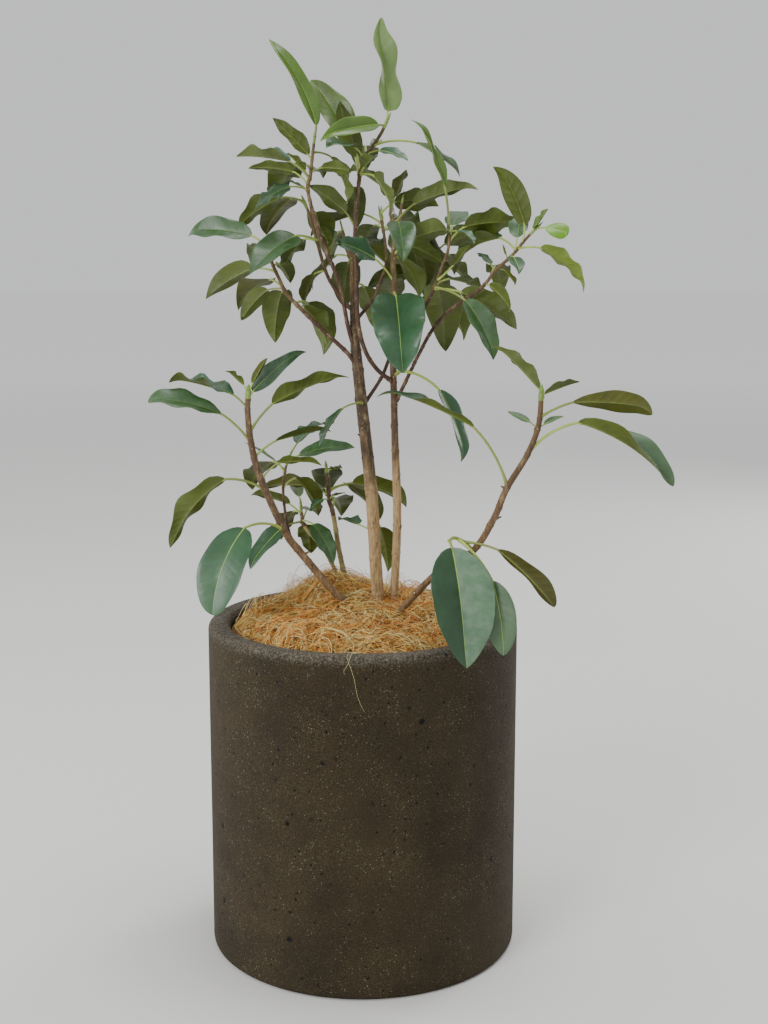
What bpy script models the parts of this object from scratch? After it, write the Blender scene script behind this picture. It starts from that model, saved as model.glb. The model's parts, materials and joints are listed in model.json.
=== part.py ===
"""Potted Port Jackson fig: a young rusty fig with several thin stems in a tall round planter.

Lengths are written in millimetres and turned to metres by MM. The origin is the middle of the
pot's flat underside, +X is to the viewer's right, -Y is towards the viewer and +Z is up.
Angles are in degrees. A heading is measured from +X, so 90 points away from the viewer.
"""

import math
import random
from collections import namedtuple

import bmesh
import bpy
import numpy as np

MM = 0.001
GAP = 0.3  # running clearance between neighbouring solids
SEED = 21

# Planter
POT_RADIUS = 144.0
POT_HEIGHT = 310.0
POT_WALL = 21.0
POT_FLOOR = 25.0
LIP_ROUND = 8.0
FOOT_ROUND = 5.0
POT_STEPS = 44
ARC_STEPS = 3
SHARP_ANGLE = 30.0

# Soil and the coir mulch on it
SOIL_TOP = 285.0
COIR_EDGE = 301.0  # height of the mulch at the wall
COIR_CROWN = 18.0  # how far its middle stands above its edge
TUFT_AT = (-32.0, 46.0)  # a pulled-up tuft behind the stems
TUFT_RISE = 20.0
TUFT_SPREAD = 27.0
COIR_RINGS = (26.0, 52.0, 76.0, 100.0)
COIR_SECTORS = 22

# Stems and boughs
LIMB_STEP = 18.0  # spacing of the rings along a limb
TAPER_POWER = 3.0  # a limb keeps its thickness for long and thins near its end
FLARE_REACH = 9.0  # height over which a root flare dies away
FOOT_RISE = 3.0  # upright start of a stem, so that its foot is cut flat at ground level
COLLAR = 3.0  # straight start of a leafy stem, square to the end of its bough
TWIG_BEND = 15.0  # how far a side twig bends up along its length
TWIG_SIDES = 1  # bevel resolution of a six-sided twig
STEM_SIDES = 2  # and of an eight-sided stem

# Leaves
STALK_RADIUS = 0.95
LONG_STALK = 22.0  # a stalk over this length is modelled in two spans
STALK_SHARE = 0.28  # of the whole leaf, stalk and blade
BLADE_WIDTH = 0.5  # of the blade's length
BLADE_THICK = 0.02  # at the midrib, of the blade's length
BLADE_FOLD = 14.0  # how far each half rises from flat
BLADE_STRAIGHT = 0.55  # how far a blade is drawn from the leaf's arc to its chord
OUTLINE_RISE = 0.55  # powers that shape the blade's edge from base to tip
OUTLINE_FALL = 0.75
BLADE_STATIONS = (0.1, 0.34, 0.62, 0.86)
TIP_HALF_WIDTH = 0.6
GOLDEN = 137.5
RULE_SPAN = 0.85  # share of a stem over which the rule's own leaves are spread
RULE_LENGTH = (60, 95)
RULE_START = (5, 50)
RULE_DROOP = (75, 115)
RULE_WIDE = (0.42, 0.55)
REAR_SPREAD = 110.0  # the rule's leaves at the rear of a stem face away from the viewer

# Room kept round each leaf and limb
LEAF_ROOM = 4.0
LIMB_ROOM = 2.5
NEAR_ROOT = 8.0  # the part of a stalk that is let off the test
POT_ROOM = 5.0
REACH = 178.0  # a foliage mass keeps to this ball round the foot of its stem
CROWN_LOW = (-196.0, -156.0, 285.0)
CROWN_HIGH = (282.0, 165.0, 850.0)
SAMPLE_STEP = 4.5  # spacing of the points that stand for a leaf in the test
LIMB_SAMPLE = 3.0  # and for a limb
OWN_ROOM = 22.0  # a leaf may lie this near along the twig that it grows from
SWINGS = (0, 8, -8, 16, -16, 26, -26)  # how far a leaf may swing or tilt to find room
TILTS = (0, 10, -10)

# A leaf leaves its stem at a share of the length, faces a heading, and turns from its start rise
# to its end rise. Roll tips it about its own line, and twist adds to that towards the tip.
Leaf = namedtuple(
    "Leaf",
    "at heading length start end wide roll stalk twist",
    defaults=(BLADE_WIDTH, 0, STALK_SHARE, 0),
)
Side = namedtuple("Side", "at heading rise length leaves")
Limb = namedtuple("Limb", "name path thick thin flare parent bare mass leaves sides rear")
Branch = namedtuple("Branch", "limb bare bare_radii leafy leafy_radii twigs rows rule")


def limb(name, path, thick, thin, bare, leaves, mass=None, parent=None, flare=0.0, sides=(), rear=0):
    """A stem or bough with radii thick to thin. Past its first `bare` points it carries leaves."""
    return Limb(name, path, thick, thin, flare, parent, bare, mass, leaves, sides, rear)


def spur(name, path, parent, leaves):
    """A short leafy twig straight off a stem."""
    return Limb(None, path, 1.6, 1.3, 0.0, parent, 0, name, leaves, (), 0)


PLANT = [
    limb(
        "stem_main",
        [(16, 0, 285.3), (12, 0, 365), (8, 0, 430), (0, 0, 505), (-7, 0, 572), (-9, 6, 609),
         (-9, 16, 640), (-6, 26, 672)],
        5.8, 3.2, 6,
        [
            Leaf(0.15, 60, 75, 10, -95, 0.55),
            Leaf(0.45, 100, 80, 20, -95),
            Leaf(0.95, 170, 60, 65, 20, 0.5, 58),
        ],
        mass="foliage_main", flare=3.0, sides=(Side(0.5, 110, 30, 45, 6),), rear=3,
    ),
    limb(
        "stem_second",
        [(26, 12, 285.3), (31, 10, 363), (32, 10, 420), (30, 10, 476), (28, 10, 560), (29, 10, 607),
         (28, 10, 636), (29, 10, 658), (27, 8, 680), (26, 8, 694)],
        3.9, 2.4, 6,
        [
            Leaf(0.05, -85, 110, -6, -76, 0.62, 0, 0.15),
            Leaf(0.16, -145, 72, 55, 5, 0.55, -58, 0.4),
            Leaf(0.4, 45, 60, 15, -105, 0.55, 0, 0.1),
            Leaf(0.43, -30, 70, 45, -5, 0.55, -58, 0.35),
            Leaf(0.49, 20, 55, 25, -55, 0.5, -44),
            Leaf(0.73, -3, 88, 55, -5, 0.4, -58, 0.3),
            Leaf(0.88, -60, 45, 75, 35, 0.6, 20),
            Leaf(0.96, 130, 70, 60, 0, 0.5, 40),
        ],
        mass="foliage_second", flare=1.5, sides=(Side(0.6, 75, 35, 50, 6),), rear=3,
    ),
    limb(
        "stem_low_left",
        [(8, -12, 285.3), (-8, -10, 315), (-30, -10, 341), (-58, -10, 375), (-71, -10, 393),
         (-88, -10, 430), (-97, -10, 455), (-102, -10, 480), (-104, -10, 505), (-103, -10, 524)],
        3.6, 2.4, 5,
        [
            Leaf(0.02, -135, 142, 34, -110, 0.58, -10, 0.34),
            Leaf(0.31, -175, 130, 38, -100, 0.3, 50, 0.3),
            Leaf(0.39, -5, 65, 60, -30, 0.4, -35, 0.35),
            Leaf(0.55, 30, 85, 40, -10, 0.35, -30, 0.3),
            Leaf(0.64, -175, 108, 58, -8, 0.4, -35, 0.35),
            Leaf(0.72, 5, 110, 60, 0, 0.38, -45, 0.3, 25),
            Leaf(0.88, 175, 80, 50, -10, 0.48, -25, 0.22, 40),
            Leaf(0.95, 15, 70, 55, 25, 0.34, 45, 0.1),
            Leaf(0.97, -15, 40, 70, 50, 0.3, -30),
            Leaf(0.98, 165, 30, 65, 25, 0.6, 40),
        ],
        mass="foliage_low_left", flare=1.5,
    ),
    limb(
        "stem_low_right",
        [(12, -22, 285.3), (26, -30, 312), (45, -40, 338), (70, -60, 368), (98, -77, 389),
         (115, -86, 419), (125, -93, 446), (142, -97, 476), (151, -100, 502), (153, -100, 530)],
        3.1, 2.2, 7,
        [
            Leaf(0.02, 165, 155, 75, -5, 0.25, 30, 0.38, -40),
            Leaf(0.39, -5, 160, 55, -80, 0.32, -35, 0.32, 90),
            Leaf(0.66, 160, 30, 38, 15, 0.45, -25),
            Leaf(0.65, 15, 26, 35, 12, 0.45, 25),
            Leaf(0.76, -5, 100, 35, -25, 0.36, -45, 0.3),
            Leaf(0.96, 30, 42, 35, -5, 0.4, -35, 0.08),
            Leaf(0.98, 165, 60, 65, 25, 0.35, 35, 0.08),
        ],
        mass="foliage_low_right", flare=1.5,
    ),
    limb(
        "stem_back",
        [(-6, 30, 285.3), (-14, 40, 325), (-23, 50, 362), (-29, 58, 397), (-33, 60, 412),
         (-34, 62, 428), (-36, 64, 445)],
        2.6, 1.6, 4,
        [
            Leaf(0.52, 10, 85, 25, -45, 0.5, -44),
            Leaf(0.48, 45, 100, 20, -70),
            Leaf(0.88, -50, 25, 30, 0),
            Leaf(0.41, 170, 70, 35, -25, 0.45, 44),
            Leaf(0.33, -115, 40, 15, -25, 0.4),
            Leaf(0.33, -55, 30, 40, 0, 0.4),
        ],
        mass="foliage_back", flare=1.0, rear=4,
    ),
    limb(
        "stem_back_left",
        [(-18, 30, 285.3), (-22, 42, 330), (-36, 50, 362), (-57, 60, 386), (-60, 66, 395),
         (-61, 68, 406)],
        2.1, 1.4, 4,
        [
            Leaf(0.25, -150, 75, 0, -70, 0.4, -29),
            Leaf(0.29, -55, 70, 10, -70, 0.4, 20),
            Leaf(0.58, -175, 55, 50, 0, 0.4, 44),
            Leaf(0.1, 80, 55, 5, -95, 0.6),
            Leaf(0.9, 120, 45, 60, 10, 0.45),
        ],
        mass="foliage_back_left", flare=1.0, rear=2,
    ),
    limb(
        "bough_left",
        [(-4, 0, 543), (-13, -5, 557), (-33, -10, 576), (-54, -19, 597), (-67, -20, 611),
         (-73, -20, 623), (-80, -20, 639), (-85, -20, 655)],
        2.4, 1.6, 4,
        [
            Leaf(0.05, 50, 65, 5, -95, 0.4, 0, 0.1),
            Leaf(0.3, 110, 75, 15, -115, 0.5, 0, 0.15),
            Leaf(0.35, 165, 55, 10, -80, 0.5, 51),
            Leaf(0.6, 170, 75, 20, -60, 0.5, 51),
            Leaf(0.68, 70, 45, 25, -65, 0.6),
            Leaf(0.96, 165, 82, 40, -20, 0.38, -51, 0.2),
        ],
        mass="foliage_left", parent="stem_main", rear=4,
    ),
    limb(
        "bough_upper_left",
        [(-5, 0, 556), (-12, -5, 578), (-21, -10, 621), (-37, -15, 662), (-47, -18, 699),
         (-45, -18, 713), (-43, -16, 731), (-41, -14, 748)],
        2.3, 1.5, 5,
        [
            Leaf(0.03, -140, 22, 40, 0, 0.5, -20),
            Leaf(0.05, -145, 55, 30, -50, 0.55, -36),
            Leaf(0.14, 170, 60, 50, -20, 0.4, 44),
            Leaf(0.22, -135, 35, 60, 20, 0.6, -20),
            Leaf(0.25, 150, 85, 45, -15, 0.42, -10, 0.3, 50),
            Leaf(0.36, -20, 40, 25, -25, 0.5, -44),
            Leaf(0.57, -165, 50, 55, 35, 0.4, 44, 0.1),
            Leaf(0.98, -172, 98, 102, 26, 0.22, -62, 0.1),
        ],
        mass="foliage_upper_left", parent="stem_main", rear=3,
    ),
    limb(
        "bough_left_middle",
        [(-9, 5, 596), (-18, 12, 604), (-32, 14, 627), (-40, 10, 654), (-44, 6, 669),
         (-48, 2, 683), (-52, 0, 693)],
        2.1, 1.5, 3,
        [
            Leaf(0.05, 145, 45, 5, -105, 0.6),
            Leaf(0.44, 140, 60, 25, -85, 0.6),
            Leaf(0.46, -140, 95, 20, -60, 0.5, -25),
            Leaf(0.62, 65, 40, 20, -70),
            Leaf(0.81, 75, 68, 15, -105, 0.62),
            Leaf(0.93, 130, 80, 35, -75, 0.6),
            Leaf(0.98, -175, 70, 25, -65, 0.5, 36),
        ],
        mass="foliage_left_middle", parent="stem_main", rear=3,
    ),
    limb(
        "bough_top",
        [(29, 10, 529), (13, -2, 543), (2, -9, 562), (-4, -9, 590), (-5, -2, 630), (-6, 5, 670),
         (-3, 8, 707), (1, 6, 729), (8, 4, 738), (17, 2, 751), (23, 0, 763)],
        2.5, 1.7, 7,
        [
            Leaf(0.01, 95, 60, 10, -110),
            Leaf(0.06, 160, 105, 85, 40, 0.42, -58),
            Leaf(0.13, -25, 70, 10, -85, 0.5, -62),
            Leaf(0.14, -75, 50, 25, 5),
            Leaf(0.19, -145, 65, 75, 55, 0.42, 60, 0.2),
            Leaf(0.37, -130, 60, 40, -20, 0.6, -20),
            Leaf(0.45, -30, 45, 10, -50, 0.5, 29),
            Leaf(0.48, 65, 30, 35, 15),
            Leaf(0.6, 10, 92, 20, -55, 0.22, 58, 0.42),
            Leaf(0.91, -150, 70, 5, -25, 0.34, -58, 0.1),
            Leaf(0.97, -160, 89, 100, 66, 0.36, -72, 0.1),
        ],
        mass="foliage_top", parent="stem_second", rear=1,
    ),
    limb(
        "bough_centre",
        [(-7, 1, 585), (8, 6, 603), (17, 16, 622), (22, 26, 640), (20, 32, 662), (16, 36, 684)],
        1.9, 1.4, 4,
        [
            Leaf(0.6, 60, 75, 45, -40),
            Leaf(0.95, 25, 65, 50, -30, 0.5, -58),
        ],
        mass="foliage_centre", parent="stem_main", sides=(Side(0.4, 95, 25, 45, 5),), rear=2,
    ),
    limb(
        "bough_right_inner",
        [(0, 1, 508), (17, 14, 533), (27, 24, 555), (44, 14, 580), (56, -8, 598), (64, -14, 614),
         (71, -15, 634), (76, -15, 646), (78, -15, 660), (77, -12, 671)],
        2.1, 1.5, 6,
        [
            Leaf(0.02, -10, 85, 0, -50, 0.45, -58),
            Leaf(0.04, -25, 95, -5, -85, 0.45, 29, 0.35),
            Leaf(0.05, 75, 90, 10, -120, 0.5, 0, 0.1),
            Leaf(0.09, 40, 60, 25, -35),
            Leaf(0.15, -45, 50, 30, 50, 0.5, 0, 0.45),
            Leaf(0.53, 75, 45, 20, -60),
            Leaf(0.75, 15, 75, 52, -26, 0.5, -58, 0.25),
            Leaf(0.83, 75, 60, 40, 10),
            Leaf(0.89, -55, 35, 5, -55, 0.6),
            Leaf(0.95, -165, 102, 90, 55, 0.2, -60, 0.35),
        ],
        mass="foliage_right_inner", parent="stem_main", rear=2,
    ),
    limb(
        "bough_back_right",
        [(28, 10, 548), (38, 20, 560), (48, 38, 578), (56, 54, 600), (62, 66, 622), (64, 74, 646)],
        1.9, 1.4, 4,
        [
            Leaf(0.1, 130, 75, 5, -95, 0.55),
            Leaf(0.3, 40, 80, 5, -95, 0.55),
            Leaf(0.5, 170, 65, 35, -50, 0.5, 58),
            Leaf(0.7, 80, 80, 15, -90, 0.55),
            Leaf(0.9, -10, 70, 55, -10, 0.5, -58),
            Leaf(0.97, 110, 60, 75, 25, 0.4),
        ],
        mass="foliage_back_right", parent="stem_second", rear=3,
    ),
    limb(
        "bough_right",
        [(31, 10, 512), (44, 5, 540), (52, 0, 557), (64, -6, 579), (80, -14, 597), (105, -25, 615),
         (119, -28, 632), (132, -31, 644), (141, -34, 655), (148, -36, 663), (153, -37, 668)],
        2.1, 1.4, 6,
        [
            Leaf(0.08, -10, 40, -5, -75, 0.5, -58, 0.1),
            Leaf(0.26, 130, 30, 70, 10),
            Leaf(0.32, 10, 24, 0, -80),
            Leaf(0.49, 175, 14, 70, 70, 0.4),
            Leaf(0.54, -80, 35, 5, -55, 0.6),
            Leaf(0.63, 85, 45, 50, 30, 0.6, 0, 0.3),
            Leaf(0.67, 0, 78, 12, -72, 0.34, -44, 0.25),
            Leaf(0.75, -170, 76, 104, 35, 0.38, 60, 0.2),
            Leaf(0.93, -20, 24, 75, 55, 0.5, 40, 0.1),
            Leaf(0.98, -15, 30, 15, -30, 0.8, 30, 0.3),
        ],
        mass="foliage_right", parent="stem_second", rear=2,
    ),
    limb(
        "bough_low_left",
        [(-66, -10, 386), (-71, 2, 404), (-74, 12, 424), (-74, 15, 436), (-72, 20, 449),
         (-69, 22, 458)],
        1.7, 1.3, 3,
        [
            Leaf(0.6, 165, 50, 55, 15, 0.25),
            Leaf(0.85, -25, 75, 40, -10, 0.36, 36, 0.2),
            Leaf(0.97, 45, 65, 55, 5),
        ],
        mass="foliage_low_inner", parent="stem_low_left", rear=2,
    ),
    spur(
        "foliage_low_front",
        [(98, -77, 389), (89, -81, 398), (81, -85, 402), (76, -89, 400)], "stem_low_right",
        [
            Leaf(0.97, -74, 118, -34, -98, 0.56, 0, 0.07),
            Leaf(0.62, -38, 116, -26, -101, 0.42, 60, 0.42),
            Leaf(0.42, -14, 103, 2, -66, 0.42, -51, 0.3),
        ],
    ),
    spur(
        "foliage_stem_main", [(11, 0, 387), (8, 9, 392)], "stem_main",
        [
            Leaf(0.85, 125, 55, 10, 0, 0.6, 0, 0.4),
            Leaf(0.9, 70, 80, 15, -105, 0.4),
        ],
    ),
    spur(
        "leaf_stem_main", [(0, 0, 510), (-1, -8, 513)], "stem_main",
        [Leaf(0.9, -150, 65, 0, -85, 0.3, 0, 0.3)],
    ),
    spur(
        "leaf_stem_second", [(29, 10, 536), (36, 5, 541)], "stem_second",
        [Leaf(0.9, -25, 120, 0, -90, 0.35, 0, 0.4)],
    ),
]


def material(name, colour, roughness):
    """A plain painted surface in the part's own colour."""
    made = bpy.data.materials.new(name)
    made.use_nodes = True
    shader = made.node_tree.nodes["Principled BSDF"]
    shader.inputs["Base Color"].default_value = (*colour, 1)
    shader.inputs["Roughness"].default_value = roughness
    shader.inputs["Metallic"].default_value = 0.0
    return made


def new_object(name, mesh, finish=None):
    """An object in the plant's collection, made from a mesh in millimetres."""
    made = bpy.data.objects.new(name, mesh)
    bpy.data.collections["Potted fig"].objects.link(made)
    if finish:
        mesh.materials.clear()
        mesh.materials.append(finish)
    return made


def mesh_from(name, build):
    """A mesh that the function build fills through bmesh, scaled to metres."""
    grid = bmesh.new()
    build(grid)
    bmesh.ops.recalc_face_normals(grid, faces=grid.faces)
    bmesh.ops.scale(grid, vec=(MM, MM, MM), verts=grid.verts)
    mesh = bpy.data.meshes.new(name)
    grid.to_mesh(mesh)
    grid.free()
    return mesh


def evaluated_mesh(made):
    """The object's mesh with its modifiers applied."""
    graph = bpy.context.evaluated_depsgraph_get()
    return bpy.data.meshes.new_from_object(made.evaluated_get(graph))


def apply_modifiers(made):
    old = made.data
    made.data = evaluated_mesh(made)
    made.modifiers.clear()
    bpy.data.meshes.remove(old)


def smooth_path(points, step=LIMB_STEP):
    """Points about a step apart on a smooth curve through the given ones."""
    knots = [np.array(p, float) for p in points]
    padded = [2 * knots[0] - knots[1], *knots, 2 * knots[-1] - knots[-2]]
    path = []
    for k in range(1, len(padded) - 2):
        before, here, after, beyond = padded[k - 1 : k + 3]
        count = max(1, round(float(np.linalg.norm(after - here)) / step))
        for i in range(count):
            t = i / count
            path.append(
                0.5
                * (
                    2 * here
                    + (after - before) * t
                    + (2 * before - 5 * here + 4 * after - beyond) * t**2
                    + (3 * here - before - 3 * after + beyond) * t**3
                )
            )
    path.append(knots[-1])
    return np.array(path)


def distances(path):
    """The distance of each point from the path's start."""
    return np.concatenate([[0.0], np.cumsum(np.linalg.norm(np.diff(path, axis=0), axis=1))])


def point_at(path, share):
    """The point at a share of the path's length."""
    along = distances(path)
    return np.array([np.interp(share * along[-1], along, path[:, k]) for k in range(3)])


def tube(name, path, radii, sides):
    """A tapering tube as a mesh object: a bevelled curve, converted and welded at its caps."""
    curve = bpy.data.curves.new(name, "CURVE")
    curve.dimensions = "3D"
    curve.bevel_depth = MM
    curve.bevel_resolution = sides
    curve.use_fill_caps = True
    spline = curve.splines.new("POLY")
    spline.points.add(len(path) - 1)
    for point, place, radius in zip(spline.points, path, radii):
        point.co = (*(place * MM), 1)
        point.radius = float(radius)
    guide = new_object(name + " curve", curve)
    mesh = evaluated_mesh(guide)
    bpy.data.objects.remove(guide)
    bpy.data.curves.remove(curve)
    grid = bmesh.new()
    grid.from_mesh(mesh)
    bmesh.ops.remove_doubles(grid, verts=grid.verts, dist=1e-6)
    bmesh.ops.recalc_face_normals(grid, faces=grid.faces)
    grid.to_mesh(mesh)
    grid.free()
    return new_object(name, mesh)


def limb_radii(path, thick, thin, flare):
    """Radii that fall mostly near the limb's end, with a root flare that dies away above its foot."""
    along = distances(path)
    loss = (thick - thin) * (along / along[-1]) ** TAPER_POWER
    return thick - loss + flare * np.exp(-along / FLARE_REACH)


def cut_clear(made, cutters):
    """Cuts each cutter out of the object, which stays one body."""
    if not cutters:
        return
    for cutter in cutters:
        cut = made.modifiers.new("Clear of " + cutter.name, "BOOLEAN")
        cut.operation = "DIFFERENCE"
        cut.solver = "EXACT"
        cut.object = cutter
    apply_modifiers(made)


def fuse(made, pieces):
    """Joins the pieces to the object by one Boolean union, and removes them."""
    if not pieces:
        return
    group = bpy.data.collections.new(made.name + " pieces")
    for piece in pieces:
        group.objects.link(piece)
    join = made.modifiers.new("Fuse", "BOOLEAN")
    join.operation = "UNION"
    join.operand_type = "COLLECTION"
    join.collection = group
    join.solver = "MANIFOLD"
    apply_modifiers(made)
    for piece in pieces:
        bpy.data.objects.remove(piece)
    bpy.data.collections.remove(group)


def blade_outline(u):
    """Half width of the blade at a share of its length, as a share of the widest."""
    widest = OUTLINE_RISE / (OUTLINE_RISE + OUTLINE_FALL)
    peak = widest**OUTLINE_RISE * (1 - widest) ** OUTLINE_FALL
    return u**OUTLINE_RISE * (1 - u) ** OUTLINE_FALL / peak


def leaf_arc(leaf, share):
    """Distance out, height and rise on the leaf's arc, whose rise turns evenly from start to end."""
    first = math.radians(leaf.start)
    turn = math.radians(leaf.end - leaf.start) or 1e-6
    rise = first + turn * share
    out = leaf.length * (math.sin(rise) - math.sin(first)) / turn
    lift = leaf.length * (math.cos(first) - math.cos(rise)) / turn
    return np.array([out, lift, rise])


def leaf_line(leaf, share):
    """The same for the leaf itself, whose blade is straighter than the arc between its two ends."""
    here = leaf_arc(leaf, share)
    if share <= leaf.stalk:
        return here
    base, tip = leaf_arc(leaf, leaf.stalk), leaf_arc(leaf, 1.0)
    chord = base + (tip - base) * (share - leaf.stalk) / (1 - leaf.stalk)
    chord[2] = math.atan2(tip[1] - base[1], tip[0] - base[0])
    return here + BLADE_STRAIGHT * (chord - here)


def leaf_frame(leaf, root, share):
    """(point, side, up) at a share of the leaf."""
    out, lift, rise = leaf_line(leaf, share)
    heading = math.radians(leaf.heading)
    flat = np.array([math.cos(heading), math.sin(heading), 0.0])
    left = np.array([-math.sin(heading), math.cos(heading), 0.0])
    high = np.array([0.0, 0.0, 1.0])
    up = high * math.cos(rise) - flat * math.sin(rise)
    blade_share = max(0.0, share - leaf.stalk) / (1 - leaf.stalk)
    roll = math.radians(leaf.roll * min(1.0, share / leaf.stalk) + leaf.twist * blade_share)
    side = left * math.cos(roll) + up * math.sin(roll)
    top = up * math.cos(roll) - left * math.sin(roll)
    return root + flat * out + high * lift, side, top


def blade_size(leaf):
    """(length, width) of the blade in millimetres."""
    length = leaf.length * (1 - leaf.stalk)
    return length, length * leaf.wide


def leaf_points(leaf, root):
    """Points spread over the stalk and blade, for the test of clear room."""
    width = blade_size(leaf)[1]
    lift = math.tan(math.radians(BLADE_FOLD))
    points = []
    for share in np.linspace(0, 1, 2 + round(leaf.length / SAMPLE_STEP)):
        place, side, top = leaf_frame(leaf, root, share)
        if share <= leaf.stalk:
            points.append(place)
        else:
            half = width / 2 * blade_outline((share - leaf.stalk) / (1 - leaf.stalk))
            for v in np.linspace(-1, 1, 3 + 2 * round(half / SAMPLE_STEP)):
                points.append(place + half * (side * v + top * lift * abs(v)))
    points = np.array(points)
    return points[np.linalg.norm(points - root, axis=1) > NEAR_ROOT]


def leaf_solid(name, leaf, root):
    """Stalk and blade as one loft of four-cornered sections, with the blade folded at its midrib.

    Each face is split from its margin to the middle of the next section, above as below, so that
    the two sides of a twisted blade run side by side and never cross.
    """
    length, width = blade_size(leaf)
    thick = length * BLADE_THICK
    fold = math.radians(BLADE_FOLD)
    stalk_stations = [0.0, 0.5, 1.0] if leaf.stalk * leaf.length > LONG_STALK else [0.0, 1.0]
    sections = [(leaf.stalk * u, STALK_RADIUS, STALK_RADIUS, 0.0) for u in stalk_stations]
    for u in BLADE_STATIONS:
        half = width / 2 * blade_outline(u)
        share = leaf.stalk + u * (1 - leaf.stalk)
        sections.append((share, half * math.cos(fold), thick / 2, half * math.sin(fold)))
    sections.append((1.0, TIP_HALF_WIDTH, TIP_HALF_WIDTH, 0.0))

    def build(grid):
        rings = []
        for share, half, deep, lift in sections:
            place, side, top = leaf_frame(leaf, root, share)
            corners = (
                place + side * half + top * lift,
                place + top * deep,
                place - side * half + top * lift,
                place - top * deep,
            )
            rings.append([grid.verts.new(corner) for corner in corners])
        for one, two in zip(rings, rings[1:]):
            for margin in (0, 2):
                for middle in (1, 3):
                    grid.faces.new((one[margin], one[middle], two[middle]))
                    grid.faces.new((one[margin], two[middle], two[margin]))
        grid.faces.new(rings[0])
        grid.faces.new(rings[-1])

    return new_object(name, mesh_from(name, build))


class Room:
    """Keeps the room that stems and leaves have taken, so that the next leaf stays clear of them."""

    def __init__(self):
        self.limbs = np.empty((0, 3))
        self.thickness = np.empty(0)
        self.owners = np.empty(0, dtype=object)
        self.leaves = []

    def add_limb(self, path, radii, owner):
        along = distances(path)
        fine = np.arange(0, along[-1], LIMB_SAMPLE)
        places = np.stack([np.interp(fine, along, path[:, k]) for k in range(3)], 1)
        self.limbs = np.vstack([self.limbs, places])
        self.thickness = np.append(self.thickness, np.interp(fine, along, radii))
        self.owners = np.append(self.owners, [owner] * len(fine))

    def in_space(self, points, foot):
        """True where the points keep to their mass's ball, to the crown and off the planter."""
        if (np.linalg.norm(points - foot, axis=1) > REACH).any():
            return False
        if (points < CROWN_LOW).any() or (points > CROWN_HIGH).any():
            return False
        over_pot = np.linalg.norm(points[:, :2], axis=1) < POT_RADIUS + POT_ROOM
        return not (over_pot & (points[:, 2] < POT_HEIGHT + POT_ROOM)).any()

    def is_clear(self, points, root, owner):
        """True where the points touch no leaf and no limb, apart from their own near the root."""
        low, high = points.min(axis=0) - LEAF_ROOM, points.max(axis=0) + LEAF_ROOM
        near = ((self.limbs > low - LIMB_ROOM) & (self.limbs < high + LIMB_ROOM)).all(axis=1)
        apart = np.linalg.norm(points[:, None] - self.limbs[near][None], axis=2)
        let_off = self.owners[near] == owner
        by_root = np.linalg.norm(points - root, axis=1) < OWN_ROOM
        touches = apart - self.thickness[near] < LIMB_ROOM
        if (touches & ~(by_root[:, None] & let_off[None])).any():
            return False
        for other in self.leaves:
            close = other[((other > low) & (other < high)).all(axis=1)]
            apart = np.linalg.norm(points[:, None] - close[None], axis=2)
            if (apart < LEAF_ROOM).any():
                return False
        return True

    def settle(self, leaf, root, foot, owner):
        """The leaf, swung and tilted as little as clears its way, or None where it has no room."""
        ways = [(abs(swing) + abs(tilt), swing, tilt) for swing in SWINGS for tilt in TILTS]
        for _, swing, tilt in sorted(ways):
            tried = leaf._replace(
                heading=leaf.heading + swing, start=leaf.start + tilt, end=leaf.end + tilt
            )
            points = leaf_points(tried, root)
            if self.in_space(points, foot) and self.is_clear(points, root, owner):
                self.leaves.append(points)
                return tried
        return None


def rule_leaves(count, chance, heading=None, spread=360.0):
    """Leaves in a golden-angle spiral, each size and droop drawn within the plant's own range."""
    leaves = []
    for k in range(count):
        turn = (GOLDEN * (k + 1)) % 360
        if heading is None:
            facing = turn
        else:
            facing = heading + (turn / 360 - 0.5) * spread
        start = chance.uniform(*RULE_START)
        leaves.append(
            Leaf(
                at=RULE_SPAN * (k + 0.5) / count,
                heading=facing,
                length=chance.uniform(*RULE_LENGTH),
                start=start,
                end=start - chance.uniform(*RULE_DROOP),
                wide=chance.uniform(*RULE_WIDE),
            )
        )
    return leaves


def side_twig(foot, heading, rise, length):
    """A short side twig that bends up a little."""
    turned = math.radians(heading)
    out = np.array([math.cos(turned), math.sin(turned), 0.0])
    points = []
    for t in (0.0, 0.5, 1.0):
        angle = math.radians(rise + TWIG_BEND * t)
        points.append(foot + length * t * (out * math.cos(angle) + np.array([0, 0, math.sin(angle)])))
    return smooth_path(points)


def split_limb(one):
    """(bare path, leafy path, radii of each) of a limb, with the running gap between them."""
    path = smooth_path(one.path)
    if one.flare:
        path = np.vstack([path[0], path[0] + (0, 0, FOOT_RISE), path[1:]])
    radii = limb_radii(path, one.thick, one.thin, one.flare)
    if not one.bare:
        return None, path, None, radii
    knot = np.array(one.path[one.bare - 1], float)
    cut = int(np.argmin(np.linalg.norm(path - knot, axis=1)))
    ahead = (path[cut] - path[cut - 1]) / np.linalg.norm(path[cut] - path[cut - 1])
    collar = [path[cut] + ahead * GAP, path[cut] + ahead * COLLAR]
    leafy = np.vstack([collar, path[cut + 1 :]])
    return path[: cut + 1], leafy, radii[: cut + 1], np.append(radii[cut], radii[cut:])


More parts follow.
